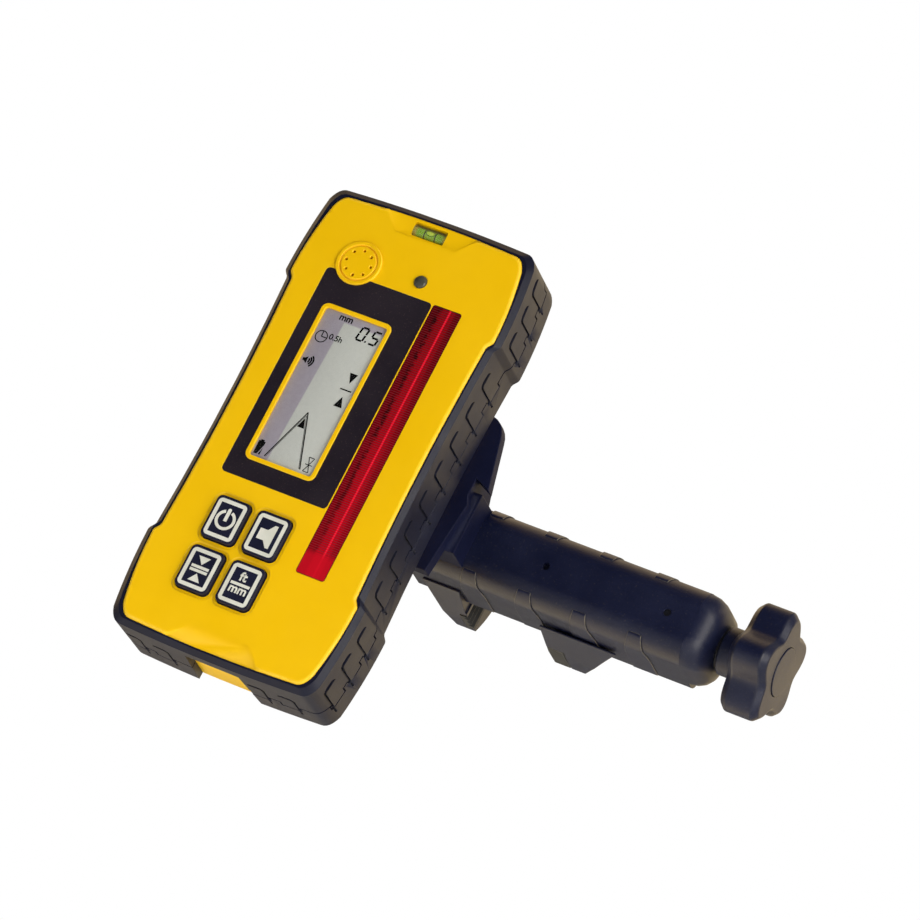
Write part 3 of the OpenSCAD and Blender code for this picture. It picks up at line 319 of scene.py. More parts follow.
def useGroup(tree, group, vector, **values):
    made = addNode(tree, "ShaderNodeGroup", node_tree=group)
    tree.links.new(vector, made.inputs["Vector"])
    for key, value in values.items():
        made.inputs[key].default_value = value
    return made.outputs


# what the moulded pieces share: patches on the edges, worn and in places a painted highlight, their polish, the
# depth of the grain
mouldSkin = {"wearHighlightScale": 220.0, "wearHighlightAmount": 0.5, "polish": 0.08, "depth": 0.00006, "specular": 0.5}


def mouldedFinish(name, look):
    finish, tree, shader, coords = startFinish(name)
    grain = useGroup(tree, mouldGrain, coords, Fine=look["fine"], Broad=look["broad"])
    wearAndHighlight = useGroup(tree, edgeWearHighlight, coords, Scale=mouldSkin["wearHighlightScale"])["WearHighlightMix"]
    body = mixColour(tree, grain["Tone"], look["dark"], look["light"])
    if "speck" in look:
        amount = doMath(tree, "MULTIPLY", grain["Speck"], look["speckAmount"])
        body = mixColour(tree, amount, body, look["speck"])
    # the edge colour goes onto the rounded edges: wear, and a painted highlight where it is lighter on the yellow
    # plastic and the leaf grips
    amount = doMath(tree, "MULTIPLY", wearAndHighlight, look.get("wearHighlightAmount", mouldSkin["wearHighlightAmount"]))
    body = mixColour(tree, amount, body, look["edge"])
    rough = mapRange(tree, grain["Tone"], 0.0, 1.0, *look["rough"])
    rough = doMath(tree, "SUBTRACT", rough, doMath(tree, "MULTIPLY", wearAndHighlight, mouldSkin["polish"]))
    linkSurface(tree, shader, body, rough)
    linkBump(tree, shader, grain["Height"], look["bump"], mouldSkin["depth"])
    shader.inputs["Specular IOR Level"].default_value = look.get("specular", mouldSkin["specular"])
    return finish


# looks of the moulded pieces, named by the record's slots
finishes = {}
mouldedLooks = {
    # the yellow's lighter edge colour is a painted highlight on its rounded edges
    "yellow_plastic": dict(dark="#f8c401", light="#fac702", edge="#ffd43a", wearHighlightAmount=0.5, fine=1500.0, broad=60.0,
                           rough=(0.42, 0.52), bump=0.10, specular=0.35),
    "black_rubber": dict(dark="#0c0f24", light="#13172c", edge="#06070f", wearHighlightAmount=0.8, fine=1300.0, broad=60.0,
                         speck="#33322f", speckAmount=0.18, rough=(0.44, 0.56), bump=0.30,
                         specular=0.38),
    "black_plastic": dict(dark="#0b1029", light="#141933", edge="#292a34", wearHighlightAmount=0.35, fine=1500.0, broad=50.0,
                          speck="#5c574b", speckAmount=0.22, rough=(0.36, 0.48), bump=0.65,
                          specular=0.45),
    # the leaf grips' pale beige edge colour is a painted highlight along the leaf outlines
    "leaf_grip": dict(dark="#0d122b", light="#161b35", edge="#77705f", wearHighlightAmount=0.9, fine=1500.0, broad=50.0,
                      speck="#5c574b", speckAmount=0.22, rough=(0.36, 0.48), bump=0.65,
                      specular=0.45),
    # the bracket's darker, duller copy of the black plastic is painted shade for the dim corner between the bumper,
    # the bracket and the arm
    "bracket_shade_plastic": dict(dark="#080d28", light="#0e1330", edge="#171a30", wearHighlightAmount=0.3, fine=1500.0, broad=50.0,
                            rough=(0.58, 0.70), bump=0.40, specular=0.16),
    "black_panel": dict(dark="#1b1620", light="#28222a", edge="#453d3b", fine=1700.0, broad=40.0,
                        speck="#62564f", speckAmount=0.6, rough=(0.36, 0.46), bump=0.35,
                        specular=0.35),
    "key_rubber": dict(dark="#12142a", light="#191b34", edge="#1e1c2c", fine=1800.0, broad=90.0,
                       rough=(0.50, 0.60), bump=0.20, specular=0.3),
    "part_black": dict(dark="#0c0d14", light="#17181d", edge="#2a2a2a", fine=1500.0, broad=80.0,
                       rough=(0.4, 0.55), bump=0.2),
    "pad_rubber": dict(dark="#1c1d20", light="#282a2c", edge="#3a3b3c", fine=1100.0, broad=80.0,
                       speck="#55565a", speckAmount=0.3, rough=(0.5, 0.65), bump=0.4),
    "bush_plastic": dict(dark="#c9c2ae", light="#ddd7c6", edge="#e9e5da", fine=1400.0, broad=70.0,
                         rough=(0.35, 0.5), bump=0.15),
    "circuit_board": dict(dark="#0f4a2a", light="#1b6a3c", edge="#2f8a55", fine=900.0, broad=140.0,
                          rough=(0.25, 0.4), bump=0.15),
    "sensor_dome": dict(dark="#3a3a34", light="#54544a", edge="#6a6a60", fine=900.0, broad=120.0,
                        rough=(0.12, 0.22), bump=0.05),
}
for slotName, look in mouldedLooks.items():
    finishes[slotName] = mouldedFinish(slotName + "Finish", look)


# the part of a noise's range that holds nearly all of it
noiseSpan = (0.3, 0.7)


def metalFinish(name, dark, light, rough, stretch):
    # drawn metal: the noise is stretched along one axis
    finish, tree, shader, coords = startFinish(name)
    drawn = addNode(tree, "ShaderNodeMapping", {"Scale": stretch})
    tree.links.new(coords, drawn.inputs["Vector"])
    lines = addNoise(tree, drawn.outputs["Vector"], 900.0, 4.0, rough=0.6)
    linkSurface(tree, shader, mixColour(tree, lines, dark, light), mapRange(tree, lines, *noiseSpan, *rough))
    linkBump(tree, shader, lines, 0.15, 0.00003)
    shader.inputs["Metallic"].default_value = 1.0
    return finish


finishes["steel"] = metalFinish("steelFinish", "#8f9094", "#c2c3c6", (0.22, 0.38), (0.15, 1.0, 1.0))
finishes["brass"] = metalFinish("brassFinish", "#9c7a34", "#cba657", (0.22, 0.38), (1.0, 0.2, 1.0))


def clearFinish(name, tint, alpha, rough, specular):
    finish, tree, shader, coords = startFinish(name)
    wipe = addNoise(tree, coords, 120.0, 3.0)
    linkSurface(tree, shader, mixColour(tree, wipe, *tint), mapRange(tree, wipe, *noiseSpan, *rough))
    shader.inputs["Alpha"].default_value = alpha
    shader.inputs["Specular IOR Level"].default_value = specular
    return finish


finishes["clear_window"] = clearFinish("clearWindowFinish", ("#3a3d3e", "#474a4b"), 0.05, (0.03, 0.08), 0.3)
finishes["vial_acrylic"] = clearFinish("vialAcrylicFinish", ("#c8d690", "#dfeab0"), 0.09, (0.03, 0.08), 0.4)

# the display's lit and painted-shadow tones, and where the painted shadow of the frame ends along the left side,
# slanted, and along the top
displayLook = {
    "slant": 0.032,
    "left": (-69.6 * mm, -69.0 * mm),
    "top": (38.0 * mm, 38.7 * mm),
    "lit": ("#c6cac6", "#d2d5d0"),
    "dim": ("#a49eac", "#b2adba"),
    "rough": (0.32, 0.42),
}


def displayFinish(name, look):
    # grey liquid crystal with a painted shadow of the window's frame along its left side and top
    finish, tree, shader, coords = startFinish(name)
    axes = splitAxes(tree, coords)
    slanted = doMath(tree, "SUBTRACT", axes["X"], doMath(tree, "MULTIPLY", axes["Z"], look["slant"]))
    left = mapRange(tree, slanted, *look["left"], 1.0, 0.0, smooth=True)
    top = mapRange(tree, axes["Z"], *look["top"], smooth=True)
    cells = addNoise(tree, coords, 900.0, 2.0)
    lit, dim = (mixColour(tree, cells, *look[key]) for key in ("lit", "dim"))
    body = mixColour(tree, doMath(tree, "MAXIMUM", left, top), lit, dim)
    linkSurface(tree, shader, body, mapRange(tree, cells, *noiseSpan, *look["rough"]))
    return finish


finishes["display_grey"] = displayFinish("displayGreyFinish", displayLook)

# places across the window are shares of its width, from the left
lensLook = {
    "left": -42.55 * mm,
    "width": 10.6 * mm,
    "low": -45.65 * mm,
    "high": 54.55 * mm,
    "endRim": 0.5 * mm,
    "ribPitch": 0.78 * mm,
    "plainEnd": (-39.0 * mm, -36.0 * mm),
    "facetEdge": (0.24, 0.36),
    "rightEdge": (0.74, 0.84),
    "sideRim": (0.465, 0.49),
    "seam": 0.27,
    "line": 0.61,
    "ribDark": ("#640a13", "#8c0c1b"),
    "ribLight": ("#9c0e1a", "#cc0f24"),
    "facet": ("#38080d", "#6e0c17"),
    "facetLow": "#b00e20",
    "seamDark": "#26060a",
    "lineBright": "#fb1f38",
    "plain": "#c80f22",
    "rim": "#2a0d1c",
    "rough": (0.28, 0.16),
}


def lensFinish(name, look):
    # a dark mottled facet on the left, fine cross ribs with a bright line, a plain lower end
    finish, tree, shader, coords = startFinish(name)
    axes = splitAxes(tree, coords)
    up = axes["Z"]
    across = doMath(tree, "DIVIDE", doMath(tree, "SUBTRACT", axes["X"], look["left"]), look["width"])
    lowness = mapRange(tree, up, look["low"], look["high"], 1.0, 0.0)
    plain = mapRange(tree, up, *look["plainEnd"], 1.0, 0.0, smooth=True)
    phase = doMath(tree, "FRACT", doMath(tree, "DIVIDE", up, look["ribPitch"]), 0.0)
    rib = mapRange(tree, awayFrom(tree, phase, 0.5), 0.14, 0.36, smooth=True)
    rib = doMath(tree, "MAXIMUM", rib, plain)
    ribDark, ribLight = (mixColour(tree, lowness, *look[key]) for key in ("ribDark", "ribLight"))
    facet = mixColour(tree, addNoise(tree, coords, 95.0, 2.0), *look["facet"])
    facet = mixColour(tree, doMath(tree, "MULTIPLY", lowness, 0.5), facet, look["facetLow"])
    body = mixColour(tree, rib, ribDark, ribLight)
    body = mixColour(tree, mapRange(tree, across, *look["facetEdge"], smooth=True), facet, body)
    body = mixColour(tree, mapRange(tree, across, *look["rightEdge"], 0.0, 0.8, smooth=True), body, facet)
    seam = mapRange(tree, awayFrom(tree, across, look["seam"]), 0.02, 0.13, 1.0, 0.0, smooth=True)
    mottle = mapRange(tree, addNoise(tree, coords, 760.0, 4.0), 0.42, 0.58, 0.0, 0.85, smooth=True)
    fade = mapRange(tree, lowness, 0.5, 1.0, 1.0, 0.35)
    amount = doMath(tree, "MULTIPLY", doMath(tree, "MULTIPLY", seam, mottle), fade)
    body = mixColour(tree, amount, body, look["seamDark"])
    line = mapRange(tree, awayFrom(tree, across, look["line"]), 0.012, 0.05, 1.0, 0.0, smooth=True)
    body = mixColour(tree, doMath(tree, "MULTIPLY", line, 0.8), body, look["lineBright"])
    body = mixColour(tree, doMath(tree, "MULTIPLY", plain, 0.8), body, look["plain"])
    rim = mapRange(tree, awayFrom(tree, across, 0.5), *look["sideRim"], 0.0, 0.85, smooth=True)
    lowEnd = mapRange(tree, up, look["low"], look["low"] + look["endRim"], 0.8, 0.0, smooth=True)
    highEnd = mapRange(tree, up, look["high"] - look["endRim"], look["high"], 0.0, 0.8, smooth=True)
    rim = doMath(tree, "MAXIMUM", rim, doMath(tree, "MAXIMUM", lowEnd, highEnd))
    body = mixColour(tree, rim, body, look["rim"])
    linkSurface(tree, shader, body, mapRange(tree, rib, 0.0, 1.0, *look["rough"]))
    linkBump(tree, shader, rib, 0.25, 0.0002)
    return finish


finishes["red_lens"] = lensFinish("redLensFinish", lensLook)
finishes["red_window"] = lensFinish("redWindowFinish", lensLook)

liquidLook = {
    "middle": (-56.0 * mm, 77.65 * mm),
    "bubble": (1.75 * mm, 0.95 * mm),
    "clearEnd": (4.3 * mm, 5.5 * mm),
    "green": ("#4c8a06", "#92c414"),
    "bubbleBright": "#bcd83e",
    "bubbleRimShade": "#4a7410",
    "brown": "#9a8a2c",
    "rough": (0.10, 0.18),
}


def liquidFinish(name, look):
    # mottled green with the bubble's bright body and a dark rim that is painted shade along the bubble's curved
    # edge, turning brown past the ends of the glass
    finish, tree, shader, coords = startFinish(name)
    axes = splitAxes(tree, coords)
    swirl = addNoise(tree, coords, 520.0, 3.0)
    away = [awayFrom(tree, axes[key], middle) for key, middle in zip("XZ", look["middle"])]
    squares = [doMath(tree, "POWER", doMath(tree, "DIVIDE", value, reach), 2.0)
               for value, reach in zip(away, look["bubble"])]
    reach = doMath(tree, "SQRT", doMath(tree, "ADD", *squares), 0.0)
    inside = mapRange(tree, reach, 0.55, 0.9, 1.0, 0.0, smooth=True)
    # painted shade: a dark ring where the bubble's edge lies
    rim = mapRange(tree, awayFrom(tree, reach, 1.0), 0.05, 0.22, 1.0, 0.0, smooth=True)
    past = mapRange(tree, away[0], *look["clearEnd"], smooth=True)
    body = mixColour(tree, swirl, *look["green"])
    body = mixColour(tree, inside, body, look["bubbleBright"])
    body = mixColour(tree, rim, body, look["bubbleRimShade"])
    body = mixColour(tree, past, body, look["brown"])
    linkSurface(tree, shader, body, mapRange(tree, swirl, *noiseSpan, *look["rough"]))
    return finish


finishes["vial_green"] = liquidFinish("vialGreenFinish", liquidLook)

cellLook = {
    "bandEdge": (-46.2 * mm, -46.0 * mm),
    "sleeve": ("#26272b", "#34353a"),
    "copper": ("#a06a3a", "#b98450"),
    "rough": (0.25, 0.4),
}


def cellFinish(name, look):
    # printed sleeve: dark with a bright band towards one end
    finish, tree, shader, coords = startFinish(name)
    band = mapRange(tree, splitAxes(tree, coords)["Z"], *look["bandEdge"], smooth=True)
    scuff = addNoise(tree, coords, 300.0, 4.0)
    sleeve, copper = (mixColour(tree, scuff, *look[key]) for key in ("sleeve", "copper"))
    body = mixColour(tree, band, sleeve, copper)
    linkSurface(tree, shader, body, mapRange(tree, scuff, *noiseSpan, *look["rough"]))
    return finish


finishes["cell_case"] = cellFinish("cellCaseFinish", cellLook)


def inkFinish(name, dark, light, rough, specular):
    finish, tree, shader, coords = startFinish(name)
    tone = useGroup(tree, mouldGrain, coords, Fine=2200.0, Broad=150.0)["Tone"]
    linkSurface(tree, shader, mixColour(tree, tone, dark, light), mapRange(tree, tone, 0.0, 1.0, *rough))
    shader.inputs["Specular IOR Level"].default_value = specular
    return finish


legendInk = inkFinish("legendInk", "#d6d6ca", "#e6e6dc", (0.5, 0.6), 0.5)
segmentInk = inkFinish("segmentInk", "#020203", "#060607", (0.7, 0.8), 0.05)
for nodeName, obj in nodes.items():
    obj.data.materials.clear()
    obj.data.materials.append(finishes[slotOf[nodeName]])
print("finishes made:", len(finishes))


# moulded pieces are merged copies of the solids with rounded edges, in mm and degrees: angle picks the edges, sharp
# sets where the shading breaks, trim and depth keep to part of the thickness, bare boxes (x, x, z, z) are left out
keyEdges = dict(width=0.4, segments=3, angle=40, convex=True)
softEdges = {
    "front_housing": dict(width=0.2, segments=2, angle=40, lip=1.3, lipSegments=4, slope=1.1, depth=-80.5,
                          bare=((-100, 0, 70, 90), (-100, 0, -90, -66), (-43.4, -31.2, -46.5, 55.4))),
    "rear_housing": dict(width=0.35, segments=2, angle=40, clamp=True),
    "front_bumper": dict(width=0.25, segments=2, angle=35, sharp=24, trim=2.5),
    "rear_bumper": dict(width=0.25, segments=2, angle=35, trim=2.5),
    "key_power": keyEdges,
    "key_sound": keyEdges,
    "key_mode": keyEdges,
    "key_units": keyEdges,
    "battery_door": dict(width=0.3, segments=2, angle=40, convex=True),
    # the bracket takes the darker copy of the black plastic, painted shade for the dim corner by the arm
    "clamp_bracket": dict(width=0.3, segments=3, angle=30, convex=True, finish="bracket_shade_plastic"),
    "mount_screw": dict(width=0.4, segments=2, angle=40, convex=True),
    "arm_housing": dict(width=0.4, segments=3, angle=35, clamp=True),
    "arm_grips": dict(width=0.16, segments=2, angle=40, finish="leaf_grip"),
    "fixed_jaw": dict(width=0.7, segments=3, angle=35, clamp=True),
    "fixed_jaw_pad": dict(width=0.15, segments=1, angle=40),
    "moving_jaw": dict(width=0.35, segments=3, angle=35, convex=True),
    "moving_jaw_pad": dict(width=0.5, segments=3, angle=35),
    "knob": dict(width=0.5, segments=3, angle=28, convex=True),
    "knob_cap": dict(width=0.3, segments=3, angle=40),
}
usualSharp = 50
weldGap = 2e-6
flatAngle = math.radians(0.6)


def nodeMesh(nodeName, merge=True):
    # the solid's triangles become whole flat faces again
    bm = bmesh.new()
    bm.from_mesh(nodes[nodeName].data)
    bmesh.ops.remove_doubles(bm, verts=bm.verts, dist=weldGap)
    if merge:
        bmesh.ops.dissolve_limit(bm, angle_limit=flatAngle, use_dissolve_boundaries=False,
                                 verts=bm.verts, edges=bm.edges, delimit=set())
    return bm


def roundEdges(bm, edges, width, segments, clamp):
    made = bmesh.ops.bevel(bm, geom=edges, offset=width * mm, offset_type="OFFSET", affect="EDGES",
                           segments=segments, profile=0.5, material=-1, clamp_overlap=clamp, loop_slide=True)
    return made["faces"]


# the face's rim starts past these distances from its middle; the end fields are sunk by this depth
faceRim = (31.0 * mm, 76.0 * mm)
fieldDepth = 0.8


def isUpright(face):
    return abs(face.normal.y) < 0.3


def lipEdges(bm):
    # the outer front edge of the face, away from the windows and the sunk fields
    front = faceMiddle * mm
    found = []
    for edge in bm.edges:
        middle = (edge.verts[0].co + edge.verts[1].co) / 2 - front
        if max(abs(v.co.y - front.y) for v in edge.verts) > 0.01 * mm or len(edge.link_faces) != 2:
            continue
        side = [f for f in edge.link_faces if isUpright(f) and max(v.co.y for v in f.verts) > front.y + 2 * mm]
        onRim = abs(middle.x) > faceRim[0] or abs(middle.z) > faceRim[1]
        if side and onRim and side[0].normal.dot(middle) > 0:
            found.append(edge)
    return found


def slopeFields(bm, slope):
    # the floors of the sunk end fields are cut along their walls and lifted there into soft slopes
    front = faceMiddle.y * mm
    floor = front + fieldDepth * mm
    walls = [(f.calc_center_median(), f.normal.copy(), f) for f in bm.faces
             if isUpright(f) and f.normal.z * f.calc_center_median().z > 0.04
             and {round((v.co.y - front) / mm, 2) for v in f.verts} == {0.0, fieldDepth}]
    for middle, normal, wall in walls:
        faces = [f for f in bm.faces if f.normal.y < -0.99 and abs(f.calc_center_median().y - floor) < 1e-6
                 and f.calc_center_median().z * middle.z > 0.005]
        geom = faces + list({e for f in faces for e in f.edges}) + list({v for f in faces for v in f.verts})
        bmesh.ops.bisect_plane(bm, geom=geom, dist=1e-7, plane_co=middle + normal * slope * mm, plane_no=normal)
    for middle, normal, wall in walls:
        for vert in wall.verts:
            vert.co.y = front
    bmesh.ops.remove_doubles(bm, verts=bm.verts, dist=weldGap)
    bmesh.ops.dissolve_degenerate(bm, dist=1e-6, edges=bm.edges)


def inBare(point, bare):
    return bare[0] * mm < point.x < bare[1] * mm and bare[2] * mm < point.z < bare[3] * mm


def sharpEdges(bm, nodeName, soft, lip):
    limit = math.radians(soft["angle"])
    low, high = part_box(nodeName)
    trim = soft.get("trim", -1.0) * mm
    near, far = low.y + trim, high.y - trim
    if "depth" in soft:
        far = min(far, soft["depth"] * mm)
    return [e for e in bm.edges if len(e.link_faces) == 2 and e.calc_face_angle(0.0) > limit and e not in lip
            and all(near <= v.co.y <= far for v in e.verts) and (e.is_convex or "convex" not in soft)
            and not any(inBare(v.co, bare) for v in e.verts for bare in soft.get("bare", ()))]


def softCopy(nodeName, soft):
    bm = nodeMesh(nodeName)
    if "slope" in soft:
        slopeFields(bm, soft["slope"])
    mask = bm.faces.layers.float.new("edgeMask")
    lip = lipEdges(bm) if "lip" in soft else []
    sharp = sharpEdges(bm, nodeName, soft, lip)
    for edges, width, segments in ((lip, soft.get("lip"), soft.get("lipSegments")),
                                   (sharp, soft["width"], soft["segments"])):
        edges = [e for e in edges if e.is_valid]
        if not edges:
            continue
        for face in roundEdges(bm, edges, width, segments, soft.get("clamp", False)):
            face[mask] = 1.0
    finish = finishes[soft.get("finish", slotOf[nodeName])]
    obj = placeMesh(bm, nodeName + "Soft", finish, soft.get("sharp", usualSharp))
    even = obj.modifiers.new("evenShading", "WEIGHTED_NORMAL")
    even.keep_sharp = True
    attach(obj, bodyOf[nodeName])
    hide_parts(nodeName)


for nodeName, soft in softEdges.items():
    softCopy(nodeName, soft)
print("soft pieces:", len(softEdges))

# the display comes up to a thinner window: its face and the window's back move forward, from and to in mm
displayDepths = {
    "display_window": (-82.3, -83.05),
    "lcd_panel": (-81.45, -82.95),
}


def displayCopy(nodeName, depths):
    bm = nodeMesh(nodeName, merge=False)
    moved = [v for v in bm.verts if abs(v.co.y - depths[0] * mm) < 0.01 * mm]
    bmesh.ops.translate(bm, verts=moved, vec=(0.0, (depths[1] - depths[0]) * mm, 0.0))
    rim = [e for e in bm.edges if len(e.link_faces) == 2 and e.calc_face_angle(0.0) > math.radians(60)]
    roundEdges(bm, rim, 0.08, 2, True)
    bmesh.ops.recalc_face_normals(bm, faces=bm.faces)
    obj = placeMesh(bm, nodeName + "Near", finishes[slotOf[nodeName]], sharpAngle=30)
    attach(obj, bodyOf[nodeName])
    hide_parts(nodeName)


for nodeName, depths in displayDepths.items():
    displayCopy(nodeName, depths)
print("display moved forward:", len(displayDepths))

# screws get a hexagon socket in each head, all heads face the back
socketScrews = {
    "housing_screws": dict(socket=1.3, depth=1.1, bevel=0.25, land=0.3),
    "cover_screws": dict(socket=1.1, depth=0.8, bevel=0.2, land=0.3),
    "jaw_screws": dict(socket=1.1, depth=0.8, bevel=0.2, land=0.3),
}


def socketCopy(nodeName, look):
    bm = nodeMesh(nodeName)
    back = max(v.co.y for v in bm.verts)
    heads = [f for f in bm.faces if f.normal.y > 0.99 and f.calc_center_median().y > back - 0.01 * mm]
    flat = look["socket"] * mm * math.cos(math.pi / 6)
    for head in heads:
        centre = head.calc_center_bounds()
        for inset in (look["bevel"], look["land"]):
            bmesh.ops.inset_region(bm, faces=[head], thickness=inset * mm, depth=0.0, use_even_offset=True)
        for vert in head.verts:
            ray = vert.co - centre
            turn = math.atan2(ray.z, ray.x) % (math.pi / 3) - math.pi / 6
            ray.y = 0.0
            vert.co = centre + ray.normalized() * flat / math.cos(turn)
        sunk = bmesh.ops.extrude_discrete_faces(bm, faces=[head])["faces"][0]
        bmesh.ops.translate(bm, verts=sunk.verts, vec=(0.0, -look["depth"] * mm, 0.0))
    obj = placeMesh(bm, nodeName + "Socket", finishes[slotOf[nodeName]], sharpAngle=35)
    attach(obj, bodyOf[nodeName])
    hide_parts(nodeName)


for nodeName, look in socketScrews.items():
    socketCopy(nodeName, look)

# two black rings on the glass mark the middle of the vial
vialRings = {"offset": 2.0, "width": 0.42, "gap": 0.02, "thick": 0.04, "steps": 36}


def buildVialRings(look):
    low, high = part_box("vial_fluid")
    middle = (low + high) / 2
    radius = (high.z - low.z) / 2
    bm = bmesh.new()
    for side in (-1, 1):
        x = middle.x + side * look["offset"] * mm
        loop = [bm.verts.new((x + a * look["width"] * mm / 2, middle.y, middle.z + radius + r * mm))
                for a, r in ((-1, -look["gap"]), (1, -look["gap"]), (1, look["thick"]), (-1, look["thick"]))]
        edges = [bm.edges.new((loop[i], loop[(i + 1) % 4])) for i in range(4)]
        bmesh.ops.spin(bm, geom=loop + edges, cent=middle, axis=(1, 0, 0), dvec=(0, 0, 0), angle=2 * math.pi,
                       steps=look["steps"], use_merge=True, use_duplicate=False)
    bmesh.ops.recalc_face_normals(bm, faces=bm.faces)
    obj = placeMesh(bm, "vialRings", segmentInk)
    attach(obj, "receiver")


buildVialRings(vialRings)
print("screws and vial done")


# flat drawings lie in the face, in mm from its middle
def drawPolygon(bm, points):
    bm.faces.new([bm.verts.new((x, 0.0, z)) for x, z in points])


def drawStroke(bm, start, end, width):
    a, b = Vector(start), Vector(end)
    side = (b - a).normalized().orthogonal() * width / 2
    drawPolygon(bm, [a + side, b + side, b - side, a - side])


def drawArc(bm, middle, radius, width, fromAngle, toAngle):
    # a short radial edge is spun round the middle
    steps = max(6, int(abs(toAngle - fromAngle) / 9))
    turn = math.radians(fromAngle)
    ray = Vector((math.cos(turn), 0.0, math.sin(turn)))
    centre = Vector((middle[0], 0.0, middle[1]))
    ends = [bm.verts.new(centre + ray * r) for r in (radius - width / 2, radius + width / 2)]
    edge = bm.edges.new(ends)
    full = abs(toAngle - fromAngle) >= 360
    bmesh.ops.spin(bm, geom=ends + [edge], cent=centre, axis=(0, -1, 0), dvec=(0, 0, 0),
                   angle=math.radians(toAngle - fromAngle), steps=steps, use_merge=full, use_duplicate=False)


def drawFrame(bm, middle, size, radius, line):
    # ring between a rounded outer loop and a square inner one
    def corners(w, h):
        return [bm.verts.new((middle[0] + sx * w, 0.0, middle[1] + sz * h))
                for sx, sz in ((-1, -1), (1, -1), (1, 1), (-1, 1))]
    w, h = size[0] / 2, size[1] / 2
    outer = bm.faces.new(corners(w, h))
    bmesh.ops.bevel(bm, geom=outer.verts[:], offset=radius, offset_type="OFFSET", affect="VERTICES",
                    segments=6, profile=0.5, material=-1)
    bm.faces.new(corners(w - line, h - line))
    bmesh.ops.delete(bm, geom=bm.faces[:], context="FACES_ONLY")
    bmesh.ops.triangle_fill(bm, edges=bm.edges[:], use_beauty=True, use_dissolve=False, normal=(0, -1, 0))


def drawText(bm, text, middle, height, bold):
    curve = bpy.data.curves.new("words", "FONT")
    curve.body = text
    curve.size = 1.0
    curve.offset = bold
    curve.align_x = "CENTER"
    words = bpy.data.objects.new("words", curve)
    scene.collection.objects.link(words)
    bpy.context.view_layer.update()
    mesh = bpy.data.meshes.new_from_object(words.evaluated_get(bpy.context.evaluated_depsgraph_get()))
    bpy.data.objects.remove(words)
    bpy.data.curves.remove(curve)
    xs = [v.co.x for v in mesh.vertices]
    ys = [v.co.y for v in mesh.vertices]
    scale = height / (max(ys) - min(ys))
    centre = Vector(((max(xs) + min(xs)) / 2, (max(ys) + min(ys)) / 2, 0.0))
    place = Matrix.Translation((middle[0], 0.0, middle[1])) @ Matrix.Rotation(math.radians(90), 4, "X")
    mesh.transform(place @ Matrix.Diagonal((scale, scale, scale, 1.0)) @ Matrix.Translation(-centre))
    bm.from_mesh(mesh)
    bpy.data.meshes.remove(mesh)


def drawArt(bm, art, x=0.0, z=0.0):
    # the art's points are measured from (x, z)
    def put(point):
        return x + point[0], z + point[1]
    for points in art.get("polygons", ()):
        drawPolygon(bm, [put(point) for point in points])
    for start, end, width in art.get("strokes", ()):
        drawStroke(bm, put(start), put(end), width)
    for middle, radius, width, fromAngle, toAngle in art.get("arcs", ()):
        drawArc(bm, put(middle), radius, width, fromAngle, toAngle)
    for text, middle, height, bold in art.get("words", ()):
        drawText(bm, text, put(middle), height, bold)


def raiseDrawing(bm, name, depth, rise, finish, body):
    # the flat drawing becomes a thin closed layer of ink at that depth behind the face
    bmesh.ops.remove_doubles(bm, verts=bm.verts, dist=1e-4)
    made = bmesh.ops.extrude_face_region(bm, geom=bm.faces[:], use_keep_orig=True)
    top = [g for g in made["geom"] if isinstance(g, bmesh.types.BMVert)]
    bmesh.ops.translate(bm, verts=top, vec=(0.0, -rise, 0.0))
    bmesh.ops.recalc_face_normals(bm, faces=bm.faces)
    bmesh.ops.translate(bm, verts=bm.verts, vec=faceMiddle + Vector((0.0, depth, 0.0)))
    bmesh.ops.scale(bm, verts=bm.verts, vec=(mm, mm, mm))
    obj = placeMesh(bm, name, finish)
    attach(obj, body)


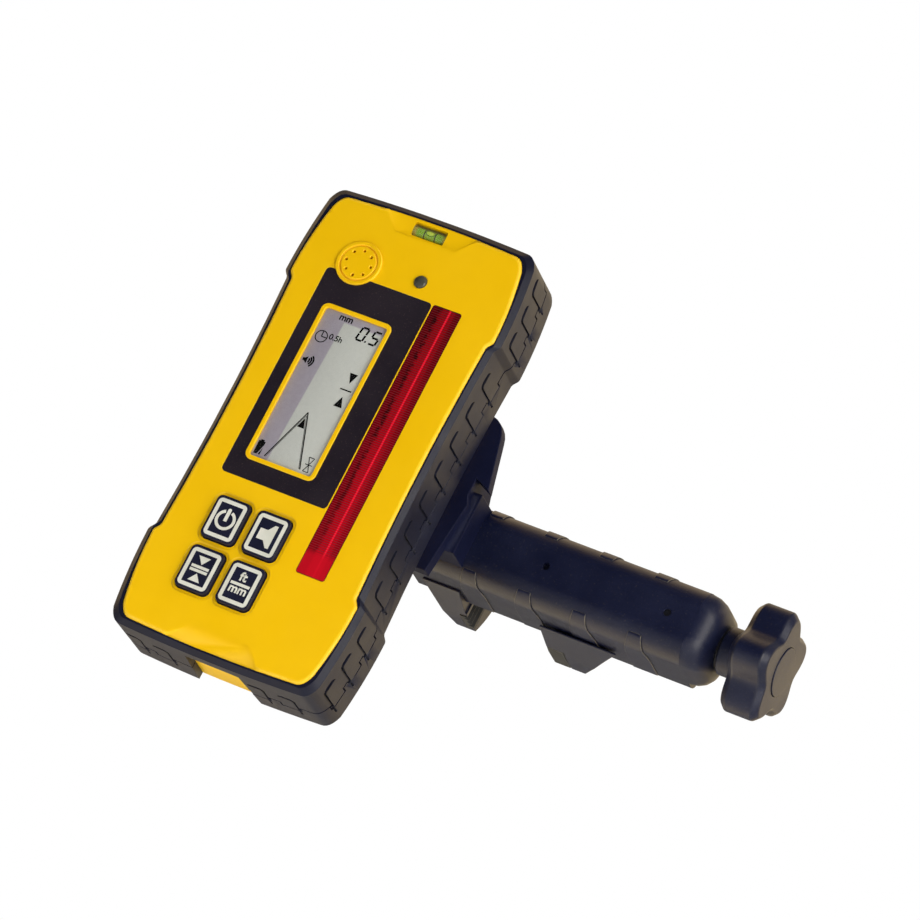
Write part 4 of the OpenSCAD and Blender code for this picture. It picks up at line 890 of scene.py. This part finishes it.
# display symbols are measured on the face, then shifted by drift for the depth of the panel
displayArt = {
    "depth": 0.54,
    "rise": 0.03,
    "drift": (-0.25, 0.0, 0.16),
    "digits": [("0", -4.1, 36.65), ("5", 0.55, 36.65)],
    "digitSize": (2.4, 4.7),
    "digitLine": 0.70,
    "digitGap": 0.154,
    "lean": 0.16,
    "polygons": [
        # decimal point
        [(-2.45, 34.2), (-1.85, 34.2), (-1.76, 34.8), (-2.36, 34.8)],
        # loudspeaker
        [(-19.1, 22.5), (-18.5, 22.5), (-17.5, 23.3), (-17.5, 20.7), (-18.5, 21.5), (-19.1, 21.5)],
        # arrowheads towards the middle line and the small one between the two rays
        [(-1.65, 23.0), (1.3, 23.0), (-0.15, 19.3)],
        [(-1.65, 10.6), (1.4, 10.6), (-0.15, 14.4)],
        [(-9.65, -0.3), (-7.05, -0.3), (-8.35, 3.3)],
        # battery with a cut corner
        [(-19.2, -13.7), (-17.9, -13.7), (-16.8, -9.9), (-16.8, -9.0), (-17.4, -9.0), (-17.4, -8.5),
         (-18.6, -8.5), (-18.6, -9.0), (-19.2, -9.0)],
        [(-17.5, -13.7), (-16.8, -13.7), (-16.8, -11.2)],
    ],
    "strokes": [
        # hands of the clock
        ((-16.9, 31.2), (-16.9, 33.2), 0.34),
        ((-16.9, 31.2), (-15.0, 31.2), 0.34),
        # middle line
        ((-2.3, 16.85), (1.8, 16.85), 0.45),
        # two rays of a thick and a thin line each
        ((-8.35, 5.4), (-15.05, -13.5), 0.38),
        ((-8.35, 4.2), (-14.63, -13.5), 0.14),
        ((-8.35, 5.4), (-1.65, -13.5), 0.38),
        ((-8.35, 4.2), (-2.07, -13.5), 0.14),
        # two triangles on a line
        ((-0.6, -8.5), (1.4, -8.5), 0.28),
        ((1.4, -8.5), (0.4, -11.0), 0.28),
        ((0.4, -11.0), (-0.6, -8.5), 0.28),
        ((-0.9, -11.1), (1.7, -11.1), 0.28),
        ((0.4, -11.2), (-0.6, -13.6), 0.28),
        ((-0.6, -13.6), (1.4, -13.6), 0.28),
        ((1.4, -13.6), (0.4, -11.2), 0.28),
    ],
    "arcs": [
        # clock and sound waves
        ((-16.9, 31.2), 2.05, 0.34, 0, 360),
        ((-17.6, 22.0), 0.85, 0.55, -52, 52),
        ((-17.6, 22.0), 1.6, 0.55, -52, 52),
        ((-17.6, 22.0), 2.35, 0.55, -52, 52),
    ],
    "words": [("mm", (-11.75, 39.5), 1.7, 0.03), ("0.5h", (-11.95, 32.2), 2.1, 0.02)],
}
segmentsOf = {"0": "abcdef", "5": "acdfg"}


def drawDigit(bm, digit, x, z, art):
    w, h = art["digitSize"][0] / 2, art["digitSize"][1] / 2
    ends = {"a": ((-w, h), (w, h)), "b": ((w, h), (w, 0)), "c": ((w, 0), (w, -h)), "d": ((-w, -h), (w, -h)),
            "e": ((-w, 0), (-w, -h)), "f": ((-w, h), (-w, 0)), "g": ((-w, 0), (w, 0))}
    for key in segmentsOf[digit]:
        a, b = (Vector(p) for p in ends[key])
        along = (b - a).normalized() * art["digitGap"]
        a, b = a + along, b - along
        lean = [Vector((x + p.x + p.y * art["lean"], z + p.y)) for p in (a, b)]
        drawStroke(bm, lean[0], lean[1], art["digitLine"])


def buildDisplay(art):
    bm = bmesh.new()
    for digit, x, z in art["digits"]:
        drawDigit(bm, digit, x, z, art)
    drawArt(bm, art)
    bmesh.ops.translate(bm, verts=bm.verts, vec=art["drift"])
    raiseDrawing(bm, "displaySymbols", art["depth"], art["rise"], segmentInk, "receiver")


buildDisplay(displayArt)

# each key carries a white frame and a sign, measured from the middle of the key
legendArt = {
    "depth": -1.29,
    "rise": 0.03,
    "frame": (10.6, 13.4),
    "radius": 1.5,
    "line": 1.3,
    "nudge": (0.1, -0.1),
}
keySigns = {
    "key_power": dict(
        arcs=[((0.0, -0.1), 3.05, 1.05, 112, 428)],
        polygons=[[(-0.62, -0.6), (0.62, -0.6), (0.62, 3.6), (0.35, 4.0), (-0.35, 4.0), (-0.62, 3.6)]]),
    "key_sound": dict(
        polygons=[[(-2.85, 1.9), (-0.2, 1.9), (1.55, 4.1), (2.7, 4.1), (2.7, -4.05), (1.55, -4.05),
                   (-0.2, -1.85), (-2.85, -1.85)]]),
    "key_mode": dict(
        polygons=[[(-2.2, 4.35), (2.2, 4.35), (0.0, 1.5)], [(-2.2, -4.45), (2.2, -4.45), (0.0, -1.6)]],
        strokes=[((-3.2, 0.62), (3.2, 0.62), 0.95), ((-3.2, -0.72), (3.2, -0.72), 0.95)]),
    "key_units": dict(
        strokes=[((-3.5, 0.1), (3.5, 0.1), 1.0)],
        words=[("ft", (-0.1, 2.95), 3.3, 0.03), ("mm", (0.0, -2.0), 2.2, 0.03)]),
}


def buildLegend(nodeName, sign, art):
    low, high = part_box(nodeName)
    x = (low.x + high.x) / 2 / mm - faceMiddle.x + art["nudge"][0]
    z = (low.z + high.z) / 2 / mm + art["nudge"][1]
    bm = bmesh.new()
    drawFrame(bm, (x, z), art["frame"], art["radius"], art["line"])
    drawArt(bm, sign, x, z)
    raiseDrawing(bm, nodeName + "Legend", art["depth"], art["rise"], legendInk, bodyOf[nodeName])


for nodeName, sign in keySigns.items():
    buildLegend(nodeName, sign, legendArt)
print("drawings made")

print("scene done")
